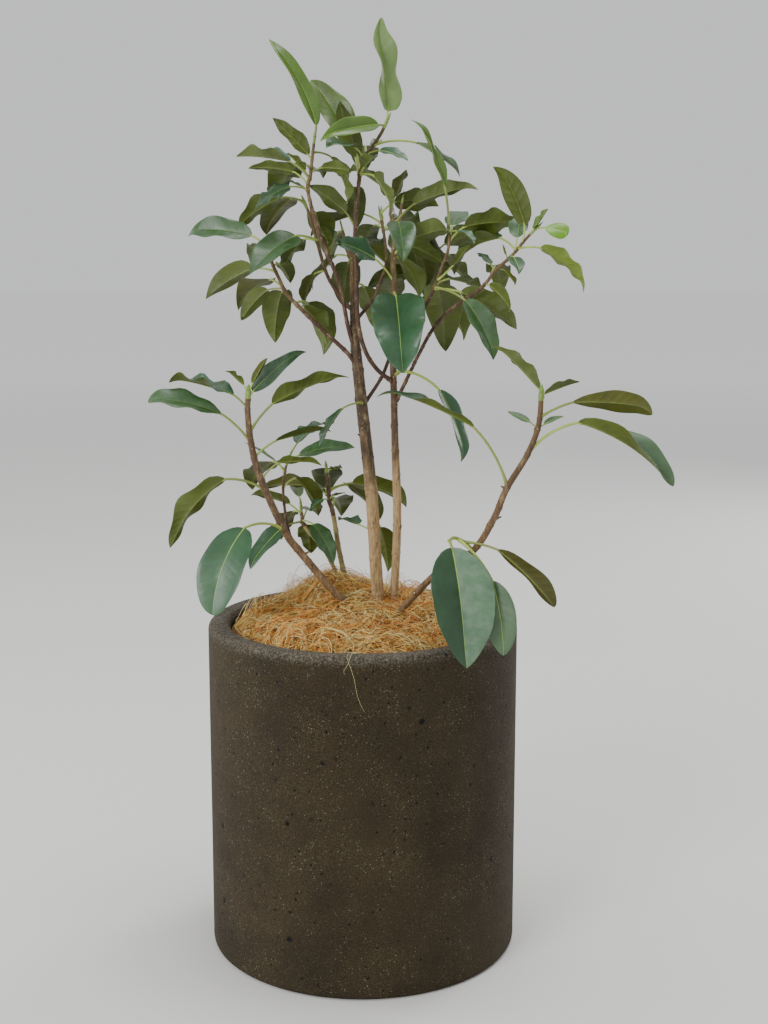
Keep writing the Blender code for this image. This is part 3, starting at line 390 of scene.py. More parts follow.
PLANT = [
    limb(
        "stem_main",
        [(16, 0, 285.3), (12, 0, 365), (8, 0, 430), (0, 0, 505), (-7, 0, 572), (-9, 6, 609),
         (-9, 16, 640), (-6, 26, 672)],
        5.8, 3.2, 6,
        [
            Leaf(0.15, 60, 75, 10, -95, 0.55),
            Leaf(0.45, 100, 80, 20, -95),
            Leaf(0.95, 170, 60, 65, 20, 0.5, 58),
        ],
        mass="foliage_main", flare=3.0, sides=(Side(0.5, 110, 30, 45, 6),), rear=3,
    ),
    limb(
        "stem_second",
        [(26, 12, 285.3), (31, 10, 363), (32, 10, 420), (30, 10, 476), (28, 10, 560), (29, 10, 607),
         (28, 10, 636), (29, 10, 658), (27, 8, 680), (26, 8, 694)],
        3.9, 2.4, 6,
        [
            Leaf(
                0.05, -85, 110, -6, -76, 0.62, 0, 0.15, tone="blue",
                form=dict(rise=0.44, fall=0.66, wave=0.08, waves=2.7, tip=0),
            ),
            Leaf(0.16, -145, 72, 55, 5, 0.55, -58, 0.4, tone="blue"),
            Leaf(0.4, 45, 60, 15, -105, 0.55, 0, 0.1),
            Leaf(0.43, -30, 70, 45, -5, 0.55, -58, 0.35),
            Leaf(0.49, 20, 55, 25, -55, 0.5, -44),
            Leaf(0.73, -3, 88, 55, -5, 0.4, -58, 0.3, form=dict(fold=46)),
            Leaf(0.88, -60, 45, 75, 35, 0.6, 20),
            Leaf(0.96, 130, 70, 60, 0, 0.5, 40),
        ],
        mass="foliage_second", flare=1.5, sides=(Side(0.6, 75, 35, 50, 6),), rear=3,
    ),
    limb(
        "stem_low_left",
        [(8, -12, 285.3), (-8, -10, 315), (-30, -10, 341), (-58, -10, 375), (-71, -10, 393),
         (-88, -10, 430), (-97, -10, 455), (-102, -10, 480), (-104, -10, 505), (-103, -10, 524)],
        3.6, 2.4, 5,
        [
            Leaf(
                0.02, -135, 142, 34, -110, 0.58, -10, 0.34, tone="blue",
                form=dict(rise=0.5, fall=0.52, fold=8, wave=0.015, tip=0),
            ),
            Leaf(0.31, -175, 130, 38, -100, 0.3, 50, 0.3, form=dict(fold=30, wave=0.14, waves=2.2)),
            Leaf(0.39, -5, 65, 60, -30, 0.4, -35, 0.35),
            Leaf(0.55, 30, 85, 40, -10, 0.35, -30, 0.3),
            Leaf(0.64, -175, 108, 58, -8, 0.4, -35, 0.35, form=dict(rise=0.8, fall=0.5, fold=24)),
            Leaf(0.72, 5, 110, 60, 0, 0.38, -45, 0.3, 25, form=dict(fold=24, wave=0.1, waves=2.0)),
            Leaf(
                0.88, 175, 80, 50, -10, 0.48, -25, 0.22, 40, tone="blue",
                form=dict(rise=0.6, fall=0.55, fold=22),
            ),
            Leaf(0.95, 15, 70, 55, 25, 0.34, 45, 0.1),
            Leaf(0.97, -15, 40, 70, 50, 0.3, -30),
            Leaf(0.98, 165, 30, 65, 25, 0.6, 40),
        ],
        mass="foliage_low_left", flare=1.5,
    ),
    limb(
        "stem_low_right",
        [(12, -22, 285.3), (26, -30, 312), (45, -40, 338), (70, -60, 368), (98, -77, 389),
         (115, -86, 419), (125, -93, 446), (142, -97, 476), (151, -100, 502), (153, -100, 530)],
        3.1, 2.2, 7,
        [
            Leaf(0.02, 165, 155, 75, -5, 0.25, 30, 0.38, -40),
            Leaf(
                0.39, -5, 160, 55, -80, 0.32, -35, 0.32, 90, tone="dull",
                form=dict(rise=0.62, fall=0.68, fold=38, wave=0.04, turn=0, tip=0),
            ),
            Leaf(0.66, 160, 30, 38, 15, 0.45, -25, tone="dull", form=dict(wave=0.02, tip=0)),
            Leaf(0.65, 15, 26, 35, 12, 0.45, 25, tone="dull", form=dict(wave=0.02, tip=0)),
            Leaf(
                0.76, -5, 100, 35, -25, 0.36, -45, 0.3, tone="olive",
                form=dict(rise=0.8, fall=0.6, fold=16, wave=0.02),
            ),
            Leaf(0.96, 30, 42, 35, -5, 0.4, -35, 0.08),
            Leaf(0.98, 165, 60, 65, 25, 0.35, 35, 0.08),
        ],
        mass="foliage_low_right", flare=1.5,
    ),
    limb(
        "stem_back",
        [(-6, 30, 285.3), (-14, 40, 325), (-23, 50, 362), (-29, 58, 397), (-33, 60, 412),
         (-34, 62, 428), (-36, 64, 445)],
        2.6, 1.6, 4,
        [
            Leaf(0.52, 10, 85, 25, -45, 0.5, -44),
            Leaf(0.48, 45, 100, 20, -70),
            Leaf(0.88, -50, 25, 30, 0),
            Leaf(0.41, 170, 70, 35, -25, 0.45, 44),
            Leaf(0.33, -115, 40, 15, -25, 0.4),
            Leaf(0.33, -55, 30, 40, 0, 0.4),
        ],
        mass="foliage_back", flare=1.0, rear=4,
    ),
    limb(
        "stem_back_left",
        [(-18, 30, 285.3), (-22, 42, 330), (-36, 50, 362), (-57, 60, 386), (-60, 66, 395),
         (-61, 68, 406)],
        2.1, 1.4, 4,
        [
            Leaf(0.25, -150, 75, 0, -70, 0.4, -29),
            Leaf(0.29, -55, 70, 10, -70, 0.4, 20),
            Leaf(0.58, -175, 55, 50, 0, 0.4, 44),
            Leaf(0.1, 80, 55, 5, -95, 0.6),
            Leaf(0.9, 120, 45, 60, 10, 0.45),
        ],
        mass="foliage_back_left", flare=1.0, rear=2,
    ),
    limb(
        "bough_left",
        [(-4, 0, 543), (-13, -5, 557), (-33, -10, 576), (-54, -19, 597), (-67, -20, 611),
         (-73, -20, 623), (-80, -20, 639), (-85, -20, 655)],
        2.4, 1.6, 4,
        [
            Leaf(0.05, 50, 65, 5, -95, 0.4, 0, 0.1),
            Leaf(0.3, 110, 75, 15, -115, 0.5, 0, 0.15),
            Leaf(0.35, 165, 55, 10, -80, 0.5, 51),
            Leaf(0.6, 170, 75, 20, -60, 0.5, 51),
            Leaf(0.68, 70, 45, 25, -65, 0.6),
            Leaf(0.96, 165, 82, 40, -20, 0.38, -51, 0.2),
        ],
        mass="foliage_left", parent="stem_main", rear=4,
    ),
    limb(
        "bough_upper_left",
        [(-5, 0, 556), (-12, -5, 578), (-21, -10, 621), (-37, -15, 662), (-47, -18, 699),
         (-45, -18, 713), (-43, -16, 731), (-41, -14, 748)],
        2.3, 1.5, 5,
        [
            Leaf(0.03, -140, 22, 40, 0, 0.5, -20),
            Leaf(0.05, -145, 55, 30, -50, 0.55, -36),
            Leaf(0.14, 170, 60, 50, -20, 0.4, 44),
            Leaf(0.22, -135, 35, 60, 20, 0.6, -20),
            Leaf(
                0.25, 150, 85, 45, -15, 0.42, -10, 0.3, 50, tone="blue",
                form=dict(fold=50, wave=0.12, waves=2.0),
            ),
            Leaf(0.36, -20, 40, 25, -25, 0.5, -44),
            Leaf(0.57, -165, 50, 55, 35, 0.4, 44, 0.1),
            Leaf(
                0.98, -172, 98, 102, 26, 0.22, -62, 0.1, tone="young",
                form=dict(fold=32, wave=0.12, waves=1.3, hook=-0.4),
            ),
        ],
        mass="foliage_upper_left", parent="stem_main", rear=3,
    ),
    limb(
        "bough_left_middle",
        [(-9, 5, 596), (-18, 12, 604), (-32, 14, 627), (-40, 10, 654), (-44, 6, 669),
         (-48, 2, 683), (-52, 0, 693)],
        2.1, 1.5, 3,
        [
            Leaf(0.05, 145, 45, 5, -105, 0.6),
            Leaf(0.44, 140, 60, 25, -85, 0.6),
            Leaf(0.46, -140, 95, 20, -60, 0.5, -25),
            Leaf(0.62, 65, 40, 20, -70),
            Leaf(0.81, 75, 68, 15, -105, 0.62),
            Leaf(0.93, 130, 80, 35, -75, 0.6),
            Leaf(0.98, -175, 70, 25, -65, 0.5, 36),
        ],
        mass="foliage_left_middle", parent="stem_main", rear=3,
    ),
    limb(
        "bough_top",
        [(29, 10, 529), (13, -2, 543), (2, -9, 562), (-4, -9, 590), (-5, -2, 630), (-6, 5, 670),
         (-3, 8, 707), (1, 6, 729), (8, 4, 738), (17, 2, 751), (23, 0, 763)],
        2.5, 1.7, 7,
        [
            Leaf(0.01, 95, 60, 10, -110),
            Leaf(0.06, 160, 105, 85, 40, 0.42, -58, tone="mid", form=dict(fold=30)),
            Leaf(0.13, -25, 70, 10, -85, 0.5, -62),
            Leaf(0.14, -75, 50, 25, 5),
            Leaf(0.19, -145, 65, 75, 55, 0.42, 60, 0.2),
            Leaf(0.37, -130, 60, 40, -20, 0.6, -20),
            Leaf(0.45, -30, 45, 10, -50, 0.5, 29),
            Leaf(0.48, 65, 30, 35, 15),
            Leaf(
                0.6, 10, 92, 20, -55, 0.22, 58, 0.42, tone="ash",
                form=dict(fold=50, wave=0.2, waves=2.1, rise=0.7),
            ),
            Leaf(0.91, -150, 70, 5, -25, 0.34, -58, 0.1, tone="young", form=dict(fold=34)),
            Leaf(
                0.97, -160, 89, 100, 66, 0.36, -72, 0.1, tone="grey",
                form=dict(rise=0.26, fall=0.52, wave=0.18, waves=1.6, phase=0.8, hook=-0.9),
            ),
        ],
        mass="foliage_top", parent="stem_second", rear=1,
    ),
    limb(
        "bough_centre",
        [(-7, 1, 585), (8, 6, 603), (17, 16, 622), (22, 26, 640), (20, 32, 662), (16, 36, 684)],
        1.9, 1.4, 4,
        [
            Leaf(0.6, 60, 75, 45, -40),
            Leaf(0.95, 25, 65, 50, -30, 0.5, -58),
        ],
        mass="foliage_centre", parent="stem_main", sides=(Side(0.4, 95, 25, 45, 5),), rear=2,
    ),
    limb(
        "bough_right_inner",
        [(0, 1, 508), (17, 14, 533), (27, 24, 555), (44, 14, 580), (56, -8, 598), (64, -14, 614),
         (71, -15, 634), (76, -15, 646), (78, -15, 660), (77, -12, 671)],
        2.1, 1.5, 6,
        [
            Leaf(0.02, -10, 85, 0, -50, 0.45, -58),
            Leaf(0.04, -25, 95, -5, -85, 0.45, 29, 0.35),
            Leaf(0.05, 75, 90, 10, -120, 0.5, 0, 0.1),
            Leaf(0.09, 40, 60, 25, -35),
            Leaf(0.15, -45, 50, 30, 50, 0.5, 0, 0.45),
            Leaf(0.53, 75, 45, 20, -60),
            Leaf(0.75, 15, 75, 52, -26, 0.5, -58, 0.25),
            Leaf(0.83, 75, 60, 40, 10),
            Leaf(0.89, -55, 35, 5, -55, 0.6),
            Leaf(
                0.95, -165, 102, 90, 55, 0.2, -60, 0.35, tone="young",
                form=dict(fold=44, wave=0.2, waves=1.6),
            ),
        ],
        mass="foliage_right_inner", parent="stem_main", rear=2,
    ),
    limb(
        "bough_back_right",
        [(28, 10, 548), (38, 20, 560), (48, 38, 578), (56, 54, 600), (62, 66, 622), (64, 74, 646)],
        1.9, 1.4, 4,
        [
            Leaf(0.1, 130, 75, 5, -95, 0.55),
            Leaf(0.3, 40, 80, 5, -95, 0.55),
            Leaf(0.5, 170, 65, 35, -50, 0.5, 58),
            Leaf(0.7, 80, 80, 15, -90, 0.55),
            Leaf(0.9, -10, 70, 55, -10, 0.5, -58),
            Leaf(0.97, 110, 60, 75, 25, 0.4),
        ],
        mass="foliage_back_right", parent="stem_second", rear=3,
    ),
    limb(
        "bough_right",
        [(31, 10, 512), (44, 5, 540), (52, 0, 557), (64, -6, 579), (80, -14, 597), (105, -25, 615),
         (119, -28, 632), (132, -31, 644), (141, -34, 655), (148, -36, 663), (153, -37, 668)],
        2.1, 1.4, 6,
        [
            Leaf(0.08, -10, 40, -5, -75, 0.5, -58, 0.1),
            Leaf(0.26, 130, 30, 70, 10),
            Leaf(0.32, 10, 24, 0, -80),
            Leaf(0.49, 175, 14, 70, 70, 0.4),
            Leaf(0.54, -80, 35, 5, -55, 0.6),
            Leaf(0.63, 85, 45, 50, 30, 0.6, 0, 0.3),
            Leaf(0.67, 0, 78, 12, -72, 0.34, -44, 0.25, tone="grey", form=dict(fold=30)),
            Leaf(0.75, -170, 76, 104, 35, 0.38, 60, 0.2),
            Leaf(0.93, -20, 24, 75, 55, 0.5, 40, 0.1, tone="young", form=dict(rise=0.45, fall=0.5, tip=0)),
            Leaf(
                0.98, -15, 30, 15, -30, 0.8, 30, 0.3, tone="lime",
                form=dict(rise=0.45, fall=0.42, fold=4, wave=0.02, tip=0, turn=45),
            ),
        ],
        mass="foliage_right", parent="stem_second", rear=2,
    ),
    limb(
        "bough_low_left",
        [(-66, -10, 386), (-71, 2, 404), (-74, 12, 424), (-74, 15, 436), (-72, 20, 449),
         (-69, 22, 458)],
        1.7, 1.3, 3,
        [
            Leaf(0.6, 165, 50, 55, 15, 0.25),
            Leaf(0.85, -25, 75, 40, -10, 0.36, 36, 0.2),
            Leaf(0.97, 45, 65, 55, 5),
        ],
        mass="foliage_low_inner", parent="stem_low_left", rear=2,
    ),
    spur(
        "foliage_low_front",
        [(98, -77, 389), (89, -81, 398), (81, -85, 402), (76, -89, 400)], "stem_low_right",
        [
            Leaf(
                0.97, -74, 118, -34, -98, 0.56, 0, 0.07, tone="shaded",
                form=dict(
                    rise=0.62, fall=0.8, fold=20, droop=0.04, wave=0.015,
                    # one half of this blade's upper side is painted paler, a painted sheen
                    tip=0, hook=0.1, dusty=True,
                ),
            ),
            Leaf(
                0.62, -38, 116, -26, -101, 0.42, 60, 0.42, tone="dull",
                form=dict(rise=0.6, fall=0.7, wave=0.04, hook=0),
            ),
            Leaf(
                0.42, -14, 103, 2, -66, 0.42, -51, 0.3, tone="umber",
                form=dict(rise=0.8, fall=0.55, fold=16, wave=0.06, waves=1.2),
            ),
        ],
    ),
    spur(
        "foliage_stem_main", [(11, 0, 387), (8, 9, 392)], "stem_main",
        [
            Leaf(0.85, 125, 55, 10, 0, 0.6, 0, 0.4),
            Leaf(0.9, 70, 80, 15, -105, 0.4),
        ],
    ),
    spur(
        "leaf_stem_main", [(0, 0, 510), (-1, -8, 513)], "stem_main",
        [Leaf(0.9, -150, 65, 0, -85, 0.3, 0, 0.3)],
    ),
    spur(
        "leaf_stem_second", [(29, 10, 536), (36, 5, 541)], "stem_second",
        [Leaf(0.9, -25, 120, 0, -90, 0.35, 0, 0.4)],
    ),
]


def smooth_path(points, step=LIMB_STEP):
    """Points about a step apart on a smooth curve through the given ones."""
    knots = [np.array(p, float) for p in points]
    padded = [2 * knots[0] - knots[1], *knots, 2 * knots[-1] - knots[-2]]
    path = []
    for k in range(1, len(padded) - 2):
        before, here, after, beyond = padded[k - 1 : k + 3]
        count = max(1, round(float(np.linalg.norm(after - here)) / step))
        for i in range(count):
            t = i / count
            path.append(
                0.5
                * (
                    2 * here
                    + (after - before) * t
                    + (2 * before - 5 * here + 4 * after - beyond) * t**2
                    + (3 * here - before - 3 * after + beyond) * t**3
                )
            )
    path.append(knots[-1])
    return np.array(path)


def distances(path):
    """The distance of each point from the path's start."""
    return np.concatenate([[0.0], np.cumsum(np.linalg.norm(np.diff(path, axis=0), axis=1))])


def point_at(path, share):
    """The point at a share of the path's length."""
    along = distances(path)
    return np.array([np.interp(share * along[-1], along, path[:, k]) for k in range(3)])


def limb_radii(path, thick, thin, flare):
    """Radii that fall mostly near the limb's end, with a root flare that dies away above its foot."""
    along = distances(path)
    loss = (thick - thin) * (along / along[-1]) ** TAPER_POWER
    return thick - loss + flare * np.exp(-along / FLARE_REACH)


def blade_outline(u):
    """Half width of the blade at a share of its length, as a share of the widest."""
    widest = OUTLINE_RISE / (OUTLINE_RISE + OUTLINE_FALL)
    peak = widest**OUTLINE_RISE * (1 - widest) ** OUTLINE_FALL
    return u**OUTLINE_RISE * (1 - u) ** OUTLINE_FALL / peak


def leaf_arc(leaf, share):
    """Distance out, height and rise on the leaf's arc, whose rise turns evenly from start to end."""
    first = math.radians(leaf.start)
    turn = math.radians(leaf.end - leaf.start) or 1e-6
    rise = first + turn * share
    out = leaf.length * (np.sin(rise) - math.sin(first)) / turn
    lift = leaf.length * (math.cos(first) - np.cos(rise)) / turn
    return np.stack([out, lift, rise], -1)


def leaf_line(leaf, share):
    """The same for the leaf itself, whose blade is straighter than the arc between its two ends."""
    here = leaf_arc(leaf, share)
    base, tip = leaf_arc(leaf, np.array([leaf.stalk, 1.0]))
    blade_share = np.maximum(0.0, share - leaf.stalk)[..., None] / (1 - leaf.stalk)
    chord = base + (tip - base) * blade_share
    chord[..., 2] = math.atan2(tip[1] - base[1], tip[0] - base[0])
    return here + BLADE_STRAIGHT * (chord - here) * (blade_share > 0)


def leaf_frame(leaf, root, share):
    """(points, sides, ups) at each share of the leaf."""
    share = np.asarray(share, float)
    out, lift, rise = np.moveaxis(leaf_line(leaf, share)[..., None], -2, 0)
    share = share[..., None]
    heading = math.radians(leaf.heading)
    flat = np.array([math.cos(heading), math.sin(heading), 0.0])
    left = np.array([-math.sin(heading), math.cos(heading), 0.0])
    high = np.array([0.0, 0.0, 1.0])
    up = high * np.cos(rise) - flat * np.sin(rise)
    blade_share = np.maximum(0.0, share - leaf.stalk) / (1 - leaf.stalk)
    roll = np.radians(leaf.roll * np.minimum(1.0, share / leaf.stalk) + leaf.twist * blade_share)
    side = left * np.cos(roll) + up * np.sin(roll)
    top = up * np.cos(roll) - left * np.sin(roll)
    return root + flat * out + high * lift, side, top


def blade_size(leaf):
    """(length, width) of the blade in millimetres."""
    length = leaf.length * (1 - leaf.stalk)
    return length, length * leaf.wide


def leaf_points(leaf, root):
    """Points spread over the stalk and blade, for the test of clear room."""
    width = blade_size(leaf)[1]
    lift = math.tan(math.radians(BLADE_FOLD))
    points = []
    for share in np.linspace(0, 1, 2 + round(leaf.length / SAMPLE_STEP)):
        place, side, top = leaf_frame(leaf, root, share)
        if share <= leaf.stalk:
            points.append(place)
        else:
            half = width / 2 * blade_outline((share - leaf.stalk) / (1 - leaf.stalk))
            for v in np.linspace(-1, 1, 3 + 2 * round(half / SAMPLE_STEP)):
                points.append(place + half * (side * v + top * lift * abs(v)))
    points = np.array(points)
    return points[np.linalg.norm(points - root, axis=1) > NEAR_ROOT]


class Room:
    """Keeps the room that stems and leaves have taken, so that the next leaf stays clear of them."""

    def __init__(self):
        self.limbs = np.empty((0, 3))
        self.thickness = np.empty(0)
        self.owners = np.empty(0, dtype=object)
        self.leaves = []

    def add_limb(self, path, radii, owner):
        """Takes the room of a limb, which belongs to its mass."""
        along = distances(path)
        fine = np.arange(0, along[-1], LIMB_SAMPLE)
        places = np.stack([np.interp(fine, along, path[:, k]) for k in range(3)], 1)
        self.limbs = np.vstack([self.limbs, places])
        self.thickness = np.append(self.thickness, np.interp(fine, along, radii))
        self.owners = np.append(self.owners, [owner] * len(fine))

    def in_space(self, points, foot):
        """True where the points keep to their mass's ball, to the crown and off the planter."""
        if (np.linalg.norm(points - foot, axis=1) > REACH).any():
            return False
        if (points < CROWN_LOW).any() or (points > CROWN_HIGH).any():
            return False
        over_pot = np.linalg.norm(points[:, :2], axis=1) < POT_RADIUS + POT_ROOM
        return not (over_pot & (points[:, 2] < POT_HEIGHT + POT_ROOM)).any()

    def is_clear(self, points, root, owner):
        """True where the points touch no leaf and no limb, apart from their own near the root."""
        low, high = points.min(axis=0) - LEAF_ROOM, points.max(axis=0) + LEAF_ROOM
        near = ((self.limbs > low - LIMB_ROOM) & (self.limbs < high + LIMB_ROOM)).all(axis=1)
        apart = np.linalg.norm(points[:, None] - self.limbs[near][None], axis=2)
        let_off = self.owners[near] == owner
        by_root = np.linalg.norm(points - root, axis=1) < OWN_ROOM
        touches = apart - self.thickness[near] < LIMB_ROOM
        if (touches & ~(by_root[:, None] & let_off[None])).any():
            return False
        for other in self.leaves:
            close = other[((other > low) & (other < high)).all(axis=1)]
            apart = np.linalg.norm(points[:, None] - close[None], axis=2)
            if (apart < LEAF_ROOM).any():
                return False
        return True

    def settle(self, leaf, root, foot, owner):
        """The leaf, swung and tilted as little as clears its way, or None where it has no room."""
        ways = [(abs(swing) + abs(tilt), swing, tilt) for swing in SWINGS for tilt in TILTS]
        for _, swing, tilt in sorted(ways):
            tried = leaf._replace(
                heading=leaf.heading + swing, start=leaf.start + tilt, end=leaf.end + tilt
            )
            points = leaf_points(tried, root)
            if self.in_space(points, foot) and self.is_clear(points, root, owner):
                self.leaves.append(points)
                return tried
        return None


def rule_leaves(count, chance, heading=None, spread=360.0):
    """Leaves in a golden-angle spiral, each size and droop drawn within the plant's own range."""
    leaves = []
    for k in range(count):
        turn = (GOLDEN * (k + 1)) % 360
        if heading is None:
            facing = turn
        else:
            facing = heading + (turn / 360 - 0.5) * spread
        start = chance.uniform(*RULE_START)
        leaves.append(
            Leaf(
                at=RULE_SPAN * (k + 0.5) / count,
                heading=facing,
                length=chance.uniform(*RULE_LENGTH),
                start=start,
                end=start - chance.uniform(*RULE_DROOP),
                wide=chance.uniform(*RULE_WIDE),
            )
        )
    return leaves


def side_twig(foot, heading, rise, length):
    """A short side twig that bends up a little."""
    turned = math.radians(heading)
    out = np.array([math.cos(turned), math.sin(turned), 0.0])
    points = []
    for t in (0.0, 0.5, 1.0):
        angle = math.radians(rise + TWIG_BEND * t)
        points.append(foot + length * t * (out * math.cos(angle) + np.array([0, 0, math.sin(angle)])))
    return smooth_path(points)


def split_limb(one):
    """(bare path, leafy path, radii of each) of a limb, with the running gap between them."""
    path = smooth_path(one.path)
    if one.flare:
        path = np.vstack([path[0], path[0] + (0, 0, FOOT_RISE), path[1:]])
    radii = limb_radii(path, one.thick, one.thin, one.flare)
    if not one.bare:
        return None, path, None, radii
    knot = np.array(one.path[one.bare - 1], float)
    cut = int(np.argmin(np.linalg.norm(path - knot, axis=1)))
    ahead = (path[cut] - path[cut - 1]) / np.linalg.norm(path[cut] - path[cut - 1])
    collar = [path[cut] + ahead * GAP, path[cut] + ahead * COLLAR]
    leafy = np.vstack([collar, path[cut + 1 :]])
    return path[: cut + 1], leafy, radii[: cut + 1], np.append(radii[cut], radii[cut:])


def branch(one, room):
    """Works out the paths of a limb and its side twigs, takes their room, and lists its leaves."""
    bare, leafy, bare_radii, leafy_radii = split_limb(one)
    if bare is not None:
        room.add_limb(bare, bare_radii, one.mass)
    room.add_limb(leafy, leafy_radii, one.mass)
    chance = random.Random(one.mass + str(SEED))
    rows = [(leaf, point_at(leafy, leaf.at)) for leaf in one.leaves]
    twigs, rule = [], []
    for side in one.sides:
        path = side_twig(point_at(leafy, side.at), side.heading, side.rise, side.length)
        radii = np.linspace(leafy_radii[-1], STALK_RADIUS, len(path))
        room.add_limb(path, radii, one.mass)
        twigs.append((path, radii))
        rule += [(leaf, point_at(path, leaf.at)) for leaf in rule_leaves(side.leaves, chance)]
    rear = rule_leaves(one.rear, chance, heading=90, spread=REAR_SPREAD)
    rule += [(leaf, point_at(leafy, leaf.at)) for leaf in rear]
    return Branch(one, leafy, twigs, rows, rule)


def settle_leaves(branches, room):
    """Settled leaves of each mass: every mass's own rows come before any leaf of the rule."""
    settled = {grown.limb.mass: [] for grown in branches}
    for kind in ("rows", "rule"):
        for grown in branches:
            for leaf, root in getattr(grown, kind):
                found = room.settle(leaf, root, grown.leafy[0], grown.limb.mass)
                if found:
                    settled[grown.limb.mass].append((found, root))
    return settled


def coir_height(x, y):
    """Height of the mulch: crowned in the middle, with a tuft pulled up behind the stems."""
    rim = POT_RADIUS - POT_WALL
    crown = COIR_CROWN * (1 - (x * x + y * y) / rim**2)
    near = (x - TUFT_AT[0]) ** 2 + (y - TUFT_AT[1]) ** 2
    return COIR_EDGE + crown + TUFT_RISE * np.exp(-near / (2 * TUFT_SPREAD**2))


def shaded(colour, factor):
    """The colour, lighter or darker by a factor."""
    return (*[min(1.0, level * factor) for level in colour[:3]], 1.0)


def feed(tree, socket, value):
    """Gives a socket a value, or links another node's output to it."""
    if isinstance(value, bpy.types.NodeSocket):
        tree.links.new(value, socket)
    else:
        socket.default_value = value


def add(tree, kind, inputs=(), **settings):
    """A shader node of that kind, with its settings made and its inputs fed."""
    made = tree.nodes.new("ShaderNode" + kind)
    for name, value in settings.items():
        setattr(made, name, value)
    for name, value in dict(inputs).items():
        feed(tree, made.inputs[name], value)
    return made


def place(tree):
    """The place on the object, in metres."""
    return add(tree, "TexCoord").outputs["Object"]


def noise(tree, where, scale, detail=2.0, rough=0.5):
    """A number that varies from place to place, with scale waves a metre."""
    inputs = {"Vector": where, "Scale": scale, "Detail": detail, "Roughness": rough}
    return add(tree, "TexNoise", inputs).outputs["Fac"]


def stretched(tree, where, scale):
    """The place, scaled by its own factor along each axis."""
    return add(tree, "Mapping", {"Vector": where, "Scale": scale}).outputs["Vector"]


def ramp(tree, factor, low, high, start=0.0, end=1.0):
    """A number that runs from start to end while the factor runs from low to high."""
    inputs = {"Value": factor, "From Min": low, "From Max": high, "To Min": start, "To Max": end}
    return add(tree, "MapRange", inputs).outputs["Result"]


def maths(tree, operation, one, two):
    """What an operation makes of two numbers, each given or another node's output."""
    return add(tree, "Math", {0: one, 1: two}, operation=operation).outputs[0]


def product(tree, one, two):
    """Two numbers multiplied."""
    return maths(tree, "MULTIPLY", one, two)


def rough_place(tree, where, scale, reach):
    """The place, pushed about by a noise, so that round spots get an uneven outline."""
    push = add(tree, "TexNoise", {"Vector": where, "Scale": scale, "Detail": 2.0}).outputs["Color"]
    centred = add(tree, "VectorMath", {0: push, 1: (0.5, 0.5, 0.5)}, operation="SUBTRACT").outputs[0]
    shift = add(tree, "VectorMath", {0: centred, "Scale": reach * 2}, operation="SCALE").outputs[0]
    return add(tree, "VectorMath", {0: where, 1: shift}, operation="ADD").outputs[0]


def cell_spots(tree, where, scale, edge, core):
    """(how near the middle of a cell, the cell's own random number) for spots dealt out by cells."""
    cells = add(tree, "TexVoronoi", {"Vector": where, "Scale": scale})
    chosen = add(tree, "SeparateColor", {"Color": cells.outputs["Color"]}).outputs[0]
    return ramp(tree, cells.outputs["Distance"], edge, core), chosen


def mixed(tree, factor, one, two):
    """A colour between two, each a colour or another node's output."""
    made = add(tree, "Mix", data_type="RGBA")
    feed(tree, made.inputs[0], factor)
    feed(tree, made.inputs[6], one)
    feed(tree, made.inputs[7], two)
    return made.outputs[2]


def surface(tree, shader, colour, height, strength, depth):
    """Gives the shader its colour, and a relief whose full range of height is depth metres."""
    relief = add(tree, "Bump", {"Height": height, "Strength": strength, "Distance": depth})
    feed(tree, shader.inputs["Base Color"], colour)
    feed(tree, shader.inputs["Normal"], relief.outputs["Normal"])


def finish(name, roughness, **sockets):
    """A new material, its node tree and its shader, with the shader's own constants set."""
    made = bpy.data.materials.new(name)
    made.use_nodes = True
    tree = made.node_tree
    shader = tree.nodes["Principled BSDF"]
    shader.inputs["Roughness"].default_value = roughness
    for socket, value in sockets.items():
        shader.inputs[socket.replace("_", " ")].default_value = value
    return made, tree, shader


def leaf_finish(name, colour, roughness, coat=0.0, dust=0.0):
    """Leathery leaf surface: patchy colour, fine pores, a waxy gloss and a film of dust."""
    made, tree, shader = finish(name, roughness, Coat_Weight=coat, Coat_Roughness=0.38)
    where = place(tree)
    patches = noise(tree, where, 38.0, 3.0)
    film = noise(tree, where, 95.0, 4.0, 0.65)
    spots = noise(tree, where, 520.0, 2.0, 0.7)
    base = mixed(tree, ramp(tree, patches, 0.3, 0.7), shaded(colour, 0.8), shaded(colour, 1.18))
    base = mixed(tree, ramp(tree, film, 0.42, 0.72, 0.0, dust), base, DUST)
    base = mixed(tree, ramp(tree, spots, 0.6, 0.78, 0.0, 0.3), base, shaded(colour, 1.9))
    gloss = ramp(tree, film, 0.35, 0.7, roughness - 0.06, roughness + 0.16)
    feed(tree, shader.inputs["Roughness"], gloss)
    surface(tree, shader, base, noise(tree, where, 700.0, 3.0, 0.6), 0.4, 0.00025)
    return made


